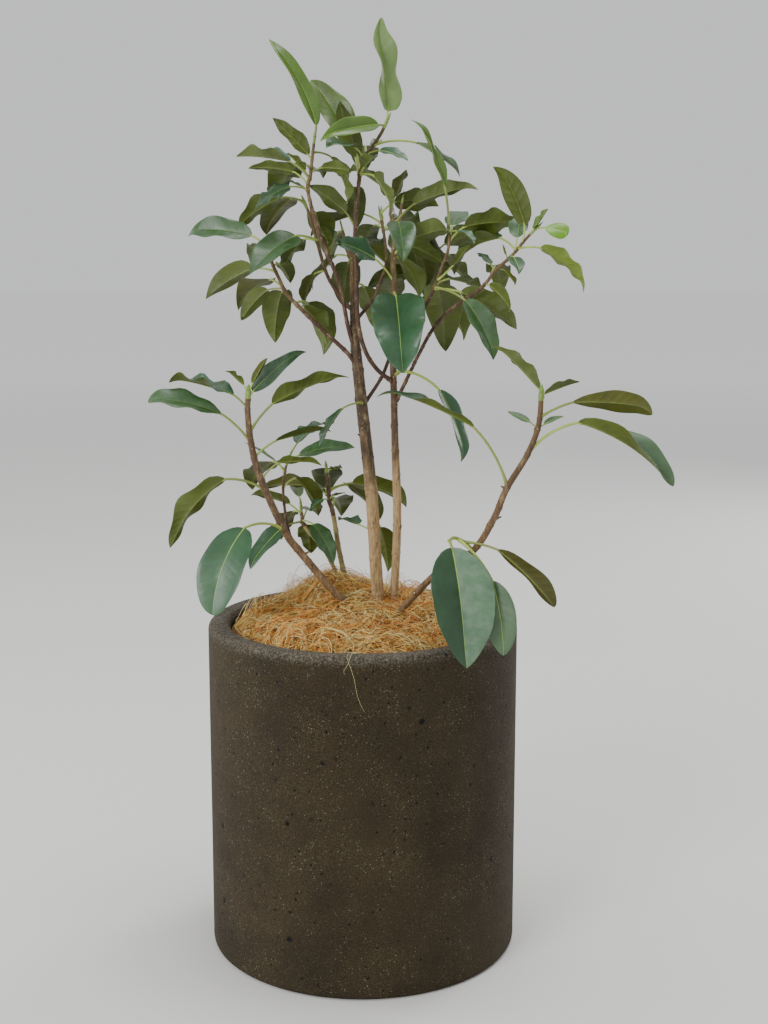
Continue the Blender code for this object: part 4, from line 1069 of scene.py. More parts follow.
def bark_finish(name, low, high, bottom, top, fleck):
    """Smooth young bark whose colour changes with height, with streaks, blotches and pale pores."""
    made, tree, shader = finish(name, 0.72)
    where = place(tree)
    height = add(tree, "SeparateXYZ", {"Vector": where}).outputs["Z"]
    streaks = noise(tree, stretched(tree, where, (1.0, 1.0, 0.16)), 620.0, 3.0, 0.65)
    blotches = noise(tree, stretched(tree, where, (1.0, 1.0, 0.45)), 190.0, 3.0, 0.65)
    wander = noise(tree, where, 45.0, 2.0)
    climb = maths(tree, "ADD", height, ramp(tree, wander, 0.0, 1.0, -0.03, 0.03))
    base = mixed(tree, ramp(tree, climb, bottom, top), low, high)
    base = mixed(tree, ramp(tree, streaks, 0.4, 0.7, 0.0, 0.8), base, fleck)
    base = mixed(tree, ramp(tree, blotches, 0.48, 0.3, 0.0, 0.35), base, BARK_PALE)
    base = mixed(tree, ramp(tree, blotches, 0.56, 0.74, 0.0, 0.75), base, BARK_DARK)
    near, chosen = cell_spots(tree, where, 420.0, 0.32, 0.16)
    pores = product(tree, near, ramp(tree, chosen, 0.86, 0.9, 0.0, 0.5))
    base = mixed(tree, pores, base, BARK_PORE)
    surface(tree, shader, base, maths(tree, "ADD", streaks, blotches), 0.7, 0.0006)
    return made


def fibre_finish(name, colour):
    """Dry coconut fibre, lighter and darker from strand to strand."""
    made, tree, shader = finish(name, 0.8)
    where = place(tree)
    patches = noise(tree, where, 120.0, 2.0)
    along = noise(tree, where, 900.0, 2.0)
    base = mixed(tree, ramp(tree, patches, 0.3, 0.7), shaded(colour, 0.7), shaded(colour, 1.25))
    base = mixed(tree, ramp(tree, along, 0.4, 0.8, 0.0, 0.4), base, shaded(colour, 0.5))
    surface(tree, shader, base, along, 0.4, 0.0003)
    return made


def bed_finish():
    """The shaded mat of fibre between the strands."""
    made, tree, shader = finish("Coir bed", 0.95)
    where = place(tree)
    mat = noise(tree, where, 210.0, 5.0, 0.75)
    base = mixed(tree, ramp(tree, mat, 0.35, 0.65), BED_DARK, BED_LIGHT)
    surface(tree, shader, base, mat, 1.0, 0.004)
    return made


def soil_finish():
    """Dark crumbly potting mix."""
    made, tree, shader = finish("Potting mix", 0.95)
    where = place(tree)
    crumbs = noise(tree, where, 160.0, 6.0, 0.8)
    surface(tree, shader, mixed(tree, crumbs, SOIL_DARK, SOIL_LIGHT), crumbs, 1.0, 0.003)
    return made


def clay_finish(top):
    """Charcoal fibre clay: fine pale specks, small pits painted near black as painted shade in their
    hollows, and a paler lip that is partly wear and partly a painted highlight.
    """
    made, tree, shader = finish("Fibre clay", 0.78, Specular_IOR_Level=0.22)
    where = place(tree)
    height = add(tree, "SeparateXYZ", {"Vector": where}).outputs["Z"]
    clouds = noise(tree, where, 11.0, 3.0)
    patches = noise(tree, where, 26.0, 4.0, 0.6)
    grain = noise(tree, where, 800.0, 4.0, 0.8)
    base = mixed(tree, ramp(tree, clouds, 0.35, 0.65), CLAY_DARK, CLAY_LIGHT)
    pale_grain = product(tree, ramp(tree, grain, 0.45, 0.66), ramp(tree, patches, 0.35, 0.7, 0.35, 1.0))
    base = mixed(tree, pale_grain, base, CLAY_GRAIN)
    base = mixed(tree, ramp(tree, grain, 0.45, 0.3, 0.0, 0.6), base, shaded(CLAY_DARK, 0.5))

    # Pale specks, one in a few of the small cells, and more of them on the patches
    near, chosen = cell_spots(tree, where, 760.0, 0.4, 0.16)
    picked = ramp(tree, chosen, 0.93, 0.95)
    specks = product(tree, product(tree, near, picked), ramp(tree, patches, 0.4, 0.65, 0.25, 0.9))
    base = mixed(tree, specks, base, CLAY_SPECK)

    # Pits of uneven outline, one in a few of the larger cells, painted near black: painted shade in their
    # hollows
    pits = []
    for scale, share in PIT_CELLS:
        near, chosen = cell_spots(tree, rough_place(tree, where, 480.0, 0.0016), scale, 0.3, 0.17)
        pits.append(product(tree, near, ramp(tree, chosen, 1 - share, 1 - share * 0.8)))
    holes = maths(tree, "MAXIMUM", *pits)
    base = mixed(tree, holes, base, PIT_SHADE)
    # The pits cast in the wall are painted near black too, by their depth: painted shade
    cast = add(tree, "Attribute", attribute_name="pit").outputs["Fac"]
    base = mixed(tree, ramp(tree, cast, 0.4, 0.62), base, PIT_SHADE)

    # The lip, paler: partly worn by handling and partly a painted highlight where light falls on its top
    lip_height = maths(tree, "ADD", height, ramp(tree, grain, 0.3, 0.7, -0.006, 0.006))
    worn_and_lit = ramp(tree, lip_height, top - 0.009, top + 0.001, 0.0, 0.8)
    scuffs = ramp(tree, noise(tree, where, 420.0, 4.0, 0.8), 0.44, 0.58, 0.05, 1.0)
    base = mixed(tree, product(tree, worn_and_lit, scuffs), base, LIP_WEAR_AND_HIGHLIGHT)
    surface(tree, shader, base, maths(tree, "SUBTRACT", grain, holes), 1.0, 0.0012)
    return made


class Pile:
    """Gathers grids of points as quads, each with its finish, to be made one mesh."""

    def __init__(self):
        self.points, self.quads, self.slots, self.caps = [], [], [], []
        self.finishes = []
        self.count = 0

    def slot(self, made):
        """The number of a finish in this pile."""
        if made not in self.finishes:
            self.finishes.append(made)
        return self.finishes.index(made)

    def add(self, grid, slots, rounded=False):
        """Rows by columns of points. slots is one number for all the quads, or one for each."""
        rows, columns = grid.shape[:2]
        index = self.count + np.arange(rows * columns).reshape(rows, columns)
        here = index if rounded else index[:, :-1]
        beside = np.roll(index, -1, axis=1) if rounded else index[:, 1:]
        corners = (here[:-1], beside[:-1], beside[1:], here[1:])
        self.points.append(grid.reshape(-1, 3))
        self.quads.append(np.stack(corners, axis=-1).reshape(-1, 4))
        self.slots.append(np.broadcast_to(slots, here[:-1].shape).ravel())
        self.count += rows * columns
        return index

    def add_closed(self, grid, slots, ends):
        """Rings of points joined into a tube, with a flat cap at either end."""
        index = self.add(grid, slots, rounded=True)
        self.caps += [(index[0][::-1], ends), (index[-1], ends)]

    def mesh(self, name):
        """One mesh of all the grids and caps."""
        points = np.concatenate(self.points) * MM
        quads = np.concatenate(self.quads)
        sizes = [4] * len(quads) + [len(ring) for ring, _ in self.caps]
        corners = np.concatenate([quads.ravel(), *[ring for ring, _ in self.caps]])
        slots = np.concatenate([*self.slots, [slot for _, slot in self.caps]])
        made = bpy.data.meshes.new(name)
        made.vertices.add(len(points))
        made.vertices.foreach_set("co", points.ravel())
        made.loops.add(len(corners))
        made.loops.foreach_set("vertex_index", corners.astype(np.int32))
        made.polygons.add(len(sizes))
        made.polygons.foreach_set("loop_start", np.cumsum([0, *sizes[:-1]]).astype(np.int32))
        made.polygons.foreach_set("material_index", slots.astype(np.int32))
        made.update(calc_edges=True)
        for finish_made in self.finishes:
            made.materials.append(finish_made)
        made.shade_smooth()
        return made


def piece(name, pile, nodes):
    """A piece of the dressed plant, which takes the place of its nodes."""
    made = bpy.data.objects.new(name, pile.mesh(name))
    bpy.context.scene.collection.objects.link(made)
    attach(made, "root")
    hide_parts(*nodes)
    return made


def across(path):
    """Two unit vectors across the path at each point, carried along it without turning."""
    ahead = np.gradient(path, axis=0)
    ahead /= np.linalg.norm(ahead, axis=1)[:, None]
    side = np.cross(ahead[0], (0.31, 0.9, 0.13))
    sides = []
    for forward in ahead:
        side = side - forward * side.dot(forward)
        side /= np.linalg.norm(side)
        sides.append(side)
    sides = np.array(sides)
    return sides, np.cross(ahead, sides)


def rings_along(path, radii, sides):
    """Rings of points round a path. radii holds one value a ring, or one for each point."""
    one, two = across(path)
    turn = np.linspace(0, 2 * np.pi, sides, endpoint=False)
    radii = np.broadcast_to(np.reshape(radii, (len(path), -1)), (len(path), sides))
    spokes = one[:, None] * np.cos(turn)[:, None] + two[:, None] * np.sin(turn)[:, None]
    return path[:, None] + spokes * radii[..., None]


def fine_limb(one):
    """(bare path, its radii, leafy path, its radii) of a limb, in fine steps."""
    path = smooth_path(one.path, BARK_STEP)
    radii = limb_radii(path, one.thick, one.thin, one.flare)
    if one.parent:
        radii = radii * BOUGH_SLIM + SOCKET_SWELL * np.exp(-distances(path) / SOCKET_REACH)
    if one.name in FORK_THINNING:
        low, high, left = FORK_THINNING[one.name]
        radii = radii * (1 - (1 - left) * np.clip((path[:, 2] - low) / (high - low), 0, 1))
    if not one.bare:
        return None, None, path, radii
    knot = np.array(one.path[one.bare - 1], float)
    cut = int(np.argmin(np.linalg.norm(path - knot, axis=1)))
    return path[: cut + 1], radii[: cut + 1], path[cut:], radii[cut:]


def bell(away, reach):
    """A swelling that is 1 in its middle and dies away over about its reach."""
    return np.exp(-((away / reach) ** 2))


def turned_from(turn, facing):
    """The angles in radians from one way round to others, the short way."""
    return np.angle(np.exp(1j * (turn - facing)))


def bark_rings(path, radii, sides, chance, scars):
    """Rings of points along a limb, raised by old leaf scars, pores and shallow ribs."""
    along = distances(path)
    turn = np.linspace(0, 2 * np.pi, sides, endpoint=False)
    out = np.repeat(radii[:, None], sides, axis=1)
    for waves in BARK_WAVES:
        phase = chance.uniform(0, 2 * math.pi)
        drift = along * chance.uniform(0.02, 0.06)
        out *= 1 + BARK_WAVE * np.sin(waves * turn[None] + phase + drift[:, None])
    facing = chance.uniform(0, 2 * math.pi)
    for scar in scars:
        ring = bell(along - scar, SCAR_REACH)
        out += SCAR_RING * (0.6 + radii / 6)[:, None] * ring[:, None]
        facing += math.radians(GOLDEN)
        low = bell(along - scar + BOSS_BELOW, BOSS_REACH)
        out += SCAR_BOSS * (radii * low)[:, None] * bell(turned_from(turn, facing), BOSS_SPREAD)[None]
    for _ in range(int(along[-1] / PORE_EVERY)):
        pore, facing = chance.uniform(0, along[-1]), chance.uniform(0, 2 * math.pi)
        low = bell(along - pore, PORE_REACH)[:, None]
        out += chance.uniform(*PORE_RISE) * low * bell(turned_from(turn, facing), PORE_SPREAD)[None]
    return rings_along(path, out, sides)


def scar_places(length, chance, near, far):
    """Distances of the old leaf scars along a limb, closer together towards its tip."""
    places, at = [], chance.uniform(2, 8)
    while at < length - 3:
        places.append(at)
        at += (far + (near - far) * at / length) * chance.uniform(0.75, 1.25)
    return places


# A blade's shape; the last field gives one half of its upper side the paler finish of painted sheen
BladeShape = namedtuple("BladeShape", "rise fall fold droop wave waves phase tip hook turn dusty")


def blade_shape(leaf, chance):
    """How one blade differs from the next, apart from what its row states."""
    drawn = BladeShape(
        rise=chance.uniform(0.5, 0.6),
        fall=chance.uniform(0.74, 0.95),
        fold=BLADE_FOLD + chance.uniform(-6, 22),
        droop=chance.uniform(0.0, 0.14),
        wave=chance.uniform(0.04, 0.15),
        waves=chance.uniform(1.1, 3.0),
        phase=chance.uniform(0, 2 * math.pi),
        tip=chance.uniform(0.0, 0.6),
        hook=chance.uniform(-0.25, 0.3),
        turn=chance.uniform(-16, 16),
        dusty=False,
    )
    return drawn._replace(**leaf.form)


def blade_rows(length):
    """(share of the blade, is a side vein's crest) for each row of points, close by each vein."""
    veins = max(VEIN_COUNT[0], min(VEIN_COUNT[1], round(length / VEIN_SPACING)))
    half = VEIN_HALF / length
    rows = list(BASE_ROWS)
    centres = np.linspace(*VEINS_SPAN, veins)
    gap = centres[1] - centres[0]
    for centre in centres:
        rows += [(centre - half, 0), (centre, 1), (centre + half, 0), (centre + gap / 2, 0)]
    rows += TIP_ROWS
    return np.array([u for u, _ in rows]), np.array([crest for _, crest in rows])


def blade(pile, leaf, root, chance, tone, bloom):
    """One leaf blade: two skins that meet at a pale rim, with raised midrib and side veins."""
    length, width = blade_size(leaf)
    shape = blade_shape(leaf, chance)
    rows, crest = blade_rows(length)
    widest = shape.rise / (shape.rise + shape.fall)
    peak = widest**shape.rise * (1 - widest) ** shape.fall

    def half_width(u):
        """Half the blade's width at a share of its length."""
        return np.maximum(BLADE_EDGE, width / 2 * u**shape.rise * (1 - u) ** shape.fall / peak)

    half = half_width(rows)
    rib = RIB_START + (RIB_END - RIB_START) * rows**0.45
    lines = []
    for line, share in enumerate(BLADE_ACROSS):
        if share is not None:
            lines.append(np.full(len(rows), share))
        elif line == 1:
            lines.append(np.maximum(RIM_WIDEST, 1 - RIM / half))
        else:
            lines.append(np.minimum(RIB_WIDEST, rib / half))
    one_side = np.stack(lines, 1)
    v = np.concatenate([one_side, np.zeros((len(rows), 1)), -one_side[:, ::-1]], axis=1)
    w = np.abs(v)
    u = np.minimum(1.0, rows[:, None] + VEIN_SLANT * w * 4 * (rows * (1 - rows))[:, None])
    wide = half_width(u)

    turned = leaf._replace(twist=leaf.twist + shape.turn)
    points, side, top = leaf_frame(turned, root, leaf.stalk + u * (1 - leaf.stalk))
    fold = math.radians(shape.fold)
    swell = np.sin(np.pi * u) * w**2
    lift = wide * (math.sin(fold) * w - shape.droop * w**3)
    lift += width * shape.wave * swell * np.sin(
        2 * np.pi * shape.waves * u + shape.phase + (v > 0) * HALVES_APART
    )
    past = np.maximum(0.0, u - TIP_BENDS)
    lift -= shape.tip * length * past**2 * 4
    slide = shape.hook * length * past**2 * 2
    middle = points + side * (v * wide * math.cos(fold) + slide)[..., None]

    inside = (w < 0.99) * np.sin(np.pi * np.clip(u, 0, 1)) ** 0.5
    vein = crest[:, None] * inside * (w > 0.02) * (w < VEIN_TO)
    quilt = (1 - crest[:, None]) * inside * (w < VEIN_TO)
    thick = (BLADE_THICK + BLADE_THICK * (1 - w)) / 2 * inside
    ridge = (w < 0.01) * (RIB_KEEL[0] * (1 - rows[:, None]) + RIB_KEEL[1]) * inside
    dents = VEIN_GROOVE * vein - QUILT * quilt + RIB_GROOVE * (w < 0.01) * inside
    upper = middle + top * (lift + thick - dents)[..., None]
    lower = middle + top * (lift - thick - VEIN_KEEL * vein - ridge)[..., None]
    grid = np.concatenate([upper, lower[:, -2:0:-1]], axis=1)

    parts = [pile.slot(made) for made in tone]
    up, under, vein_up, vein_under, rib_up, rib_under, rim = parts
    # One half of the upper side may take the paler finish: painted sheen where light falls on it
    near = pile.slot(bloom) if shape.dusty else up
    columns_up = [rim, *[near] * 4, rib_up, rib_up, *[up] * 4, rim]
    columns_under = [rim, *[under] * 4, rib_under, rib_under, *[under] * 4, rim]
    slots = np.tile(columns_up + columns_under[::-1], (len(rows) - 1, 1))
    by_vein = (crest[:-1] + crest[1:])[:, None] > 0
    slots = np.where(by_vein & (slots == up), vein_up, slots)
    slots = np.where(by_vein & (slots == under), vein_under, slots)
    pile.add_closed(grid, slots, rim)


def stalk(pile, leaf, root, slot):
    """A leaf's stalk, swollen where it leaves the stem, that runs on into the midrib."""
    past = leaf.stalk + STALK_RUNS_ON * (1 - leaf.stalk)
    shares = np.append(np.linspace(0, leaf.stalk, STALK_STEPS), past)
    path, _, top = leaf_frame(leaf, root, shares)
    path[-1] -= top[-1] * STALK_END
    slim = min(1.35, 0.55 + leaf.length / 150)
    radii = np.append(np.interp(np.arange(STALK_STEPS), *STALK_SWELL), STALK_END) * slim
    pile.add_closed(rings_along(path, radii, GREEN_SIDES), slot, slot)


def bud(pile, start, ahead, length, radius, slot):
    """A pointed bud."""
    shares = np.linspace(0, 1, 9)
    path = start + np.outer(shares * length, ahead)
    swell = radius * np.interp(shares, *BUD_SWELL)
    pile.add_closed(rings_along(path, swell, GREEN_SIDES), slot, slot)


def shoot(pile, path, radii, rings, chance, finishes):
    """A leafy shoot with a ring at each leaf, a green end and its pointed bud."""
    bark, green = pile.slot(finishes["shoot"]), pile.slot(finishes["green"])
    grid = bark_rings(path, radii, SHOOT_SIDES, chance, rings)
    from_end = distances(path)[-1] - distances(path)[:-1]
    slots = np.where(from_end < GREEN_END, green, bark)[:, None]
    pile.add_closed(grid, slots, green)
    ahead = path[-1] - path[-3]
    ahead = ahead / np.linalg.norm(ahead)
    length = chance.uniform(*BUD_LENGTH)
    bud(pile, path[-1] - ahead * 0.5, ahead, length, radii[-1] * 0.9, pile.slot(finishes["bud"]))


def leaf_tones():
    """The finishes of a blade for each tone: upper, under, their veins, their midribs and rim."""
    ribs = {name: leaf_finish("Midrib " + name, rgb(*colour), 0.45) for name, colour in RIBS}
    unders = {}
    for name, colour in UNDERS:
        under = leaf_finish("Leaf underside " + name, rgb(*colour), 0.58)
        vein = leaf_finish("Leaf underside veins " + name, shaded(rgb(*colour), 1.12), 0.58)
        unders[name] = (under, vein)
    tones = {}
    for name, colour, below, rib in UPPERS:
        dust = LEAF_DUST if rib == "old" else YOUNG_DUST
        upper = leaf_finish("Leaf " + name, rgb(*colour), 0.4, 0.25, dust)
        vein = leaf_finish("Leaf veins " + name, shaded(rgb(*colour), 1.04), 0.4, 0.25, dust)
        rim = leaf_finish("Leaf rim " + name, shaded(rgb(*colour), 1.5), 0.45)
        under, under_vein = unders[below]
        tones[name] = (upper, under, vein, under_vein, ribs[rib], ribs["under"], rim)
    return tones


def foliage(branches, leaves, tones, finishes):
    """Blades, stalks and shoots of each mass, in the leaves' own places."""
    for grown in branches:
        one = grown.limb
        chance = random.Random(one.mass + " looks")
        blades, stalks, shoots = Pile(), Pile(), Pile()
        rings = []
        path, radii = fine_limb(one)[2:]
        along = distances(path)
        for leaf, root in leaves[one.mass]:
            tone = leaf.tone or chance.choices(COMMON_TONES, COMMON_SHARES)[0]
            blade(blades, leaf, root, chance, tones[tone], finishes["bloom"])
            stalk(stalks, leaf, root, stalks.slot(finishes[chance.choice(STALK_FINISHES)]))
            rings.append(along[int(np.argmin(np.linalg.norm(path - root, axis=1)))])
        if one.bare:
            shoot(shoots, path, radii, rings, chance, finishes)
        else:
            slot = shoots.slot(finishes["stalk olive"])
            shoots.add_closed(rings_along(path, radii + SPUR_SWELL, SHOOT_SIDES), slot, slot)
        for path, radii in grown.twigs:
            fine = smooth_path(path, BARK_STEP)
            thick = np.linspace(radii[0], radii[-1], len(fine))
            shoot(shoots, fine, thick, scar_places(distances(fine)[-1], chance, 6, 12), chance, finishes)
        tag = one.mass.replace("foliage_", "")
        piece("leaves_" + tag, blades, [one.mass])
        piece("stalks_" + tag, stalks, [one.mass])
        piece("shoots_" + tag, shoots, [one.mass])


def stub(pile, root, radius, heading, length, slot, cut):
    """What is left of a broken twig, with a pale end."""
    turn = math.radians(heading)
    ahead = np.array([math.cos(turn), math.sin(turn), STUB_CLIMB])
    path = root + np.outer((0.0, radius, radius + length * 0.6, radius + length), ahead)
    grid = rings_along(path, np.array(STUB_RADII), GREEN_SIDES)
    pile.add_closed(grid, slot, cut)


def bare_limbs(finishes):
    """The bare stems and boughs, with the bark's relief."""
    for one in PLANT:
        if not one.bare:
            continue
        chance = random.Random(one.name)
        path, radii = fine_limb(one)[:2]
        near, far = (8, 24) if one.thick < 3 else (14, 40)
        scars = scar_places(distances(path)[-1], chance, near, far)
        bark = Pile()
        slot = bark.slot(finishes[LIMB_FINISH.get(one.name, "bough")])
        bark.add_closed(bark_rings(path, radii, BARK_SIDES, chance, scars), slot, slot)
        for _, height, heading, length in [row for row in STUBS if row[0] == one.name]:
            near = int(np.argmin(np.abs(path[:, 2] - height)))
            stub(bark, path[near], radii[near], heading, length, slot, bark.slot(finishes["cut"]))
        piece("bark_" + one.name, bark, [one.name])


def quarter(centre, radius, first, last, steps):
    """Points of a quarter round in the planter's section."""
    turn = np.radians(np.linspace(first, last, steps))
    return [(centre[0] + radius * math.cos(a), centre[1] + radius * math.sin(a)) for a in turn]


def planter(clay):
    """The cast planter: rounded lip and foot, a wall a little out of true, and small pits."""
    inner = POT_RADIUS - POT_WALL
    section = [(POT_AXIS, 0.0), (POT_MIDDLE, 0.0)]
    section += quarter((POT_RADIUS - FOOT_ROUND, FOOT_ROUND), FOOT_ROUND, -90, 0, FOOT_STEPS)
    wall = np.arange(FOOT_ROUND + POT_RING, POT_HEIGHT - LIP_ROUND - POT_RING / 2, POT_RING)
    section += [(POT_RADIUS, z) for z in wall]
    section += quarter((POT_RADIUS - LIP_ROUND, POT_HEIGHT - LIP_ROUND), LIP_ROUND, 0, 90, LIP_STEPS)
    section += quarter((inner + LIP_ROUND, POT_HEIGHT - LIP_ROUND), LIP_ROUND, 90, 180, LIP_STEPS)
    section += [(inner, z) for z in np.arange(POT_HEIGHT - LIP_ROUND - WELL_RING, POT_FLOOR, -WELL_RING)]
    section += [(out, POT_FLOOR) for out in (inner, POT_MIDDLE, POT_AXIS)]
    out, height = np.array(section).T
    turn = np.linspace(0, 2 * np.pi, POT_SECTORS, endpoint=False)

    chance = np.random.default_rng(SEED)
    stray = np.zeros((len(section), POT_SECTORS))
    for waves in CLAY_WAVES:
        rise = chance.uniform(*CLAY_RISE)
        phase, lean = chance.uniform(0, ANY_TURN, 2)
        stray += np.sin(waves * turn[None] + phase) * np.cos(rise * height[:, None] + lean) / 7
    on_wall = (out > POT_RADIUS - LIP_ROUND - 1) & (height > FOOT_ROUND)
    radius = out[:, None] + CLAY_WANDER * stray * on_wall[:, None]

    pit = np.zeros_like(radius)
    places = np.stack([chance.uniform(0, 2 * np.pi, PITS), chance.uniform(*PIT_HEIGHTS, PITS)], 1)
    sizes = chance.uniform(*PIT_SIZES, PITS)
    for (angle, z), size in zip(places, sizes):
        rows = np.nonzero(on_wall & (np.abs(height - z) < 2 * size))[0]
        apart = turned_from(turn, angle) * POT_RADIUS
        far = np.hypot(apart[None], (height[rows] - z)[:, None]) / size
        pit[rows] = np.maximum(pit[rows], np.clip(1.3 - far, 0, 1))
    radius = radius - pit * PIT_DEPTH

    grid = np.stack(
        [radius * np.cos(turn), radius * np.sin(turn), np.broadcast_to(height[:, None], radius.shape)], -1
    )
    made = Pile()
    slot = made.slot(clay)
    made.add_closed(grid, slot, slot)
    pot = piece("planter", made, ["pot"])
    marks = pot.data.attributes.new("pit", "FLOAT", "POINT")
    marks.data.foreach_set("value", pit.ravel().astype(np.float32))


def rumple(x, y):
    """Uneven height of the fibre mat, from crossing waves."""
    total = 0
    for k, (across_x, across_y, phase) in enumerate(RUMPLES):
        total = total + np.sin(across_x * x + across_y * y + phase) / (1 + 0.35 * k)
    return total


def coir_bed(made):
    """The mat under the strands."""
    edge = POT_RADIUS - POT_WALL - 1.0
    radii = np.linspace(1.0, edge, BED_RINGS)
    turn = np.linspace(0, 2 * np.pi, BED_SECTORS, endpoint=False)
    x, y = radii[:, None] * np.cos(turn), radii[:, None] * np.sin(turn)
    top = coir_height(x, y) - BED_DROP + BED_RUMPLE * rumple(x, y)
    grid = np.stack([x, y, top], -1)
    foot = grid[-1:] * (1, 1, 0) + (0, 0, BED_FOOT)
    bed = Pile()
    slot = bed.slot(made)
    bed.add_closed(np.concatenate([grid, foot])[::-1], slot, slot)
    piece("coir_bed", bed, ["coir_mulch"])


def lock_path(chance, start, heading, length, curl, lift, rise):
    """A lock's middle line: it wanders over the mulch, arched up by lift and climbing by rise."""
    steps = max(7, int(length / FIBRE_STEP))
    t = np.linspace(0, 1, steps)
    phase, waves = chance.uniform(0, ANY_TURN, 2), chance.uniform(0.6, 2.0)
    turn = heading + curl * t + 0.45 * np.sin(2 * np.pi * waves * t + phase[0])
    pace = length / (steps - 1)
    x = start[0] + np.concatenate([[0], np.cumsum(np.cos(turn[:-1]))]) * pace
    y = start[1] + np.concatenate([[0], np.cumsum(np.sin(turn[:-1]))]) * pace
    z = lift * np.sin(np.pi * t) + rise * t**1.3 + 0.8 * np.sin(2 * np.pi * 1.7 * t + phase[1])
    return np.stack([x, y, z], 1)


def strand(chance, line, spread):
    """One strand of a lock, which strays from the lock's line and keeps inside the wall."""
    t = np.linspace(0, 1, len(line))[:, None]
    first, last = chance.normal(0, spread, 3), chance.normal(0, spread * STRAND_FANS, 3)
    shake = np.sin(t * chance.uniform(*SHAKE_WAVES, 3) + chance.uniform(0, ANY_TURN, 3))
    path = line + first + (last - first) * t + shake * chance.uniform(*STRAND_SHAKE, 3)
    start = int(chance.uniform(0, len(line) * STRAND_LATE))
    path = path[start:]
    out = np.maximum(np.hypot(path[:, 0], path[:, 1]), 1e-6)
    limit = POT_RADIUS - POT_WALL - chance.uniform(*WALL_KEPT)
    inside = out < limit + WALL_OVERRUN
    if inside[:4].all():
        ends = len(path) if inside.all() else int(np.argmin(inside))
        path, out = path[:ends], out[:ends]
    path[:, :2] *= np.minimum(1.0, limit / out)[:, None]
    from_wall = np.clip((POT_RADIUS - POT_WALL - out) / WALL_FADE, 0.25, 1)
    rise = np.maximum(path[:, 2], STRAND_DIP) * from_wall
    path[:, 2] = rise + coir_height(path[:, 0], path[:, 1]) - STRAND_SINK
    return path


def hanging_path(chance, angle, drop, drift):
    """A fibre that crosses the lip and hangs down the outside of the wall."""
    t = np.linspace(0, 1, HANGING_STEPS)
    inner = POT_RADIUS - POT_WALL - HANGING_START
    reach = POT_RADIUS + 0.7 - inner
    over = np.minimum(1.0, t / HANGING_OVER)
    down = np.maximum(0.0, t - HANGING_OVER) / (1 - HANGING_OVER)
    phase = chance.uniform(0, 2 * math.pi, 2)
    out = inner + reach * over + 0.5 * (1 + np.sin(17 * t + phase[0])) * (down > 0)
    start = coir_height(inner * math.cos(angle), inner * math.sin(angle))
    z = start + (POT_HEIGHT + 1.2 - start) * np.sin(over * math.pi / 2) ** 0.6 - drop * down
    turn = angle + (drift * down + 1.6 * np.sin(11 * t + phase[1]) * down) / POT_RADIUS
    return np.stack([out * np.cos(turn), out * np.sin(turn), z], 1)


def coir(bed, fibres):
    """The fibre mulch: a mat, locks of strands that curl over it, a pulled-up tuft, and strays."""
    coir_bed(bed)
    chance = np.random.default_rng(SEED)
    piles = [Pile() for _ in fibres]
    slots = [pile.slot(made) for pile, made in zip(piles, fibres)]

    def lay(line, count, spread, radii, shares):
        """Lays a lock's strands along its line, each with a colour dealt by the shares."""
        for _ in range(count):
            kind = chance.choice(len(fibres), p=shares)
            path = strand(chance, line, spread)
            thick = chance.uniform(*radii) * np.interp(np.linspace(0, 1, len(path)), *STRAND_SWELL)
            piles[kind].add_closed(rings_along(path, thick, 3), slots[kind], slots[kind])

    def spot():
        """A place anywhere on the mulch, and its heading from the middle."""
        out, angle = (POT_RADIUS - POT_WALL) * chance.uniform() ** 0.5, chance.uniform(0, 2 * math.pi)
        return (out * math.cos(angle), out * math.sin(angle)), angle

    def stray(start, length, curl, arch, climb, spread):
        """Lays one loose strand that starts at a place."""
        line = lock_path(
            chance, start, chance.uniform(0, ANY_TURN), chance.uniform(*length),
            chance.normal(0, curl), chance.uniform(*arch), chance.uniform(*climb)
        )
        lay(line, 1, spread, FINE_RADIUS, TUFT_SHARES)

    for _ in range(LOCKS):
        start, angle = spot()
        heading = angle + chance.normal(0, LOCK_TURN)
        line = lock_path(
            chance, start, heading, chance.uniform(*LOCK_LENGTH), chance.normal(0, LOCK_CURL),
            chance.exponential(LOCK_ARCH), chance.uniform(*LOCK_CLIMB)
        )
        count, spread = chance.integers(*LOCK_STRANDS), chance.uniform(*LOCK_SPREAD)
        lay(line, count, spread, STRAND_RADIUS, STRAND_SHARES)
    for _ in range(LOOSE):
        stray(spot()[0], *LOOSE_SHAPE)
    for _ in range(TUFT_STRANDS):
        stray(np.array(TUFT_AT) + chance.normal(0, TUFT_SPREAD * TUFT_START, 2), *TUFT_SHAPE)
    for angle, drop, drift in HANGING:
        line = hanging_path(chance, math.radians(angle), drop, drift)
        thin = np.linspace(FINE_RADIUS[0] * 1.3, FINE_RADIUS[0] * 0.7, len(line))
        piles[1].add_closed(rings_along(line, thin, 4), slots[1], slots[1])
    for kind, pile in enumerate(piles):
        piece("coir_strands_" + str(kind + 1), pile, ["coir_mulch"])


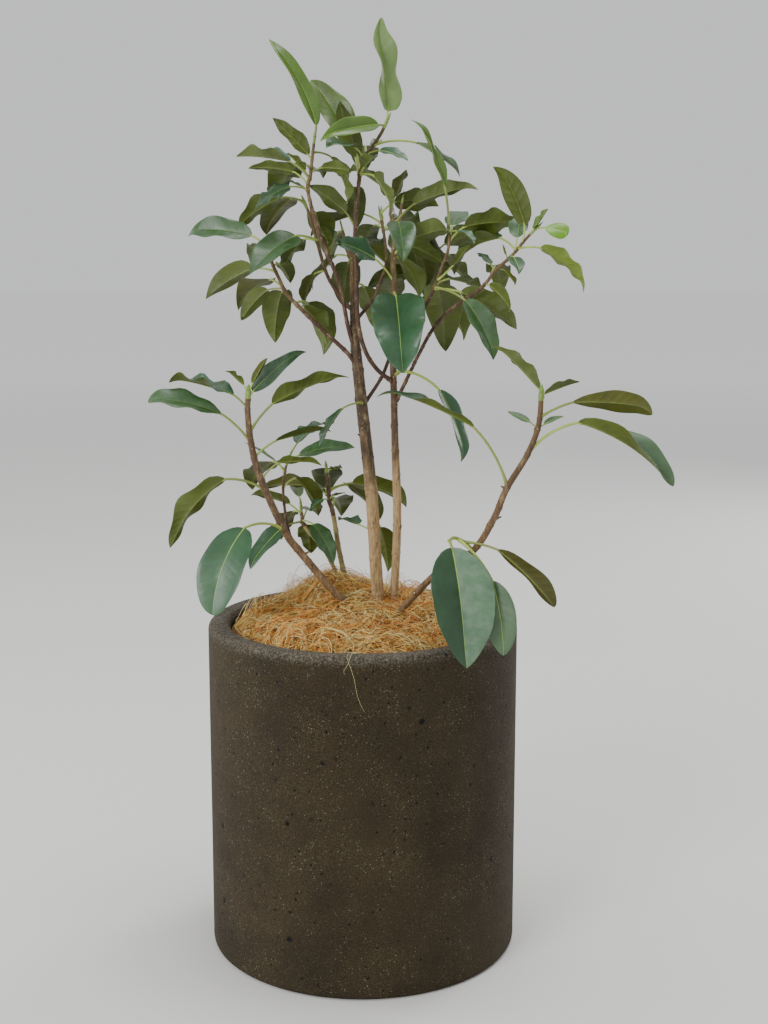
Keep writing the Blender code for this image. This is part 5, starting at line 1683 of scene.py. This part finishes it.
def studio():
    """A pale floor, painted grey by the plant and near white far away as painted shade round it, a pale
    surround and soft lights.
    """
    floor_mesh = bpy.data.meshes.new("Floor")
    corners = [(-FLOOR, -FLOOR, 0), (FLOOR, -FLOOR, 0), (FLOOR, FLOOR, 0), (-FLOOR, FLOOR, 0)]
    floor_mesh.from_pydata(corners, [], [(0, 1, 2, 3)])
    floor = bpy.data.objects.new("Floor", floor_mesh)
    bpy.context.scene.collection.objects.link(floor)
    pale, tree, shader = finish("Pale floor", 0.8)
    grain = noise(tree, place(tree), 40.0, 3.0)
    away = add(tree, "VectorMath", {0: place(tree)}, operation="LENGTH").outputs["Value"]
    # painted shade: grey near the plant, lighter with distance
    base = mixed(tree, ramp(tree, away, 1.2, 7.0), FLOOR_NEAR, FLOOR_FAR)
    base = mixed(tree, ramp(tree, grain, 0.0, 1.0, 0.0, 0.04), base, FLOOR_NEAR)
    feed(tree, shader.inputs["Base Color"], base)
    floor_mesh.materials.append(pale)

    world = bpy.data.worlds.new("Pale surround")
    world.use_nodes = True
    bpy.context.scene.world = world
    surround = world.node_tree.nodes["Background"]
    surround.inputs["Color"].default_value = SURROUND_COLOUR
    surround.inputs["Strength"].default_value = SURROUND

    for name, where, target, size, power in LIGHTS:
        light = bpy.data.lights.new(name, "AREA")
        light.shape = "RECTANGLE"
        light.size, light.size_y = size
        light.energy = power
        lamp = bpy.data.objects.new(name, light)
        bpy.context.scene.collection.objects.link(lamp)
        lamp.location = where
        aim = Vector(target) - Vector(where)
        lamp.rotation_euler = aim.to_track_quat("-Z", "Y").to_euler()


def camera():
    """The camera, where it sees the pot as the photo does."""
    lens = bpy.data.cameras.new("Camera")
    lens.lens, lens.sensor_width = CAMERA_LENS, CAMERA_SENSOR
    made = bpy.data.objects.new("Camera", lens)
    made.location = CAMERA_PLACE
    made.rotation_euler = (math.radians(90 - CAMERA_DROP), 0, 0)
    bpy.context.scene.collection.objects.link(made)
    bpy.context.scene.camera = made


def dress():
    """Grows the plant by the same rule as its solids, and gives every piece its material."""
    room = Room()
    branches = [branch(one, room) for one in PLANT]
    leaves = settle_leaves(branches, room)
    finishes = {name: bark_finish("Bark " + name, *rest) for name, *rest in BARKS}
    finishes.update(
        {name: leaf_finish("Leaf " + name, rgb(*colour), 0.48, 0.1) for name, colour in GREEN_PARTS}
    )
    finishes["cut"] = fibre_finish("Broken twig", STUB_END)
    # A paler leaf finish: painted sheen for one half of a blade
    finishes["bloom"] = leaf_finish("Leaf with bloom", PAINTED_SHEEN_COLOUR, 0.45, 0.15, PAINTED_SHEEN_DUST)
    foliage(branches, leaves, leaf_tones(), finishes)
    bare_limbs(finishes)
    planter(clay_finish(POT_HEIGHT * MM))
    fibres = [fibre_finish("Coir " + name, rgb(*colour)) for name, colour in FIBRE_COLOURS]
    coir(bed_finish(), fibres)
    soil = frame["nodes"]["soil"]
    soil.data.materials.clear()
    soil.data.materials.append(soil_finish())


dress()
studio()
camera()
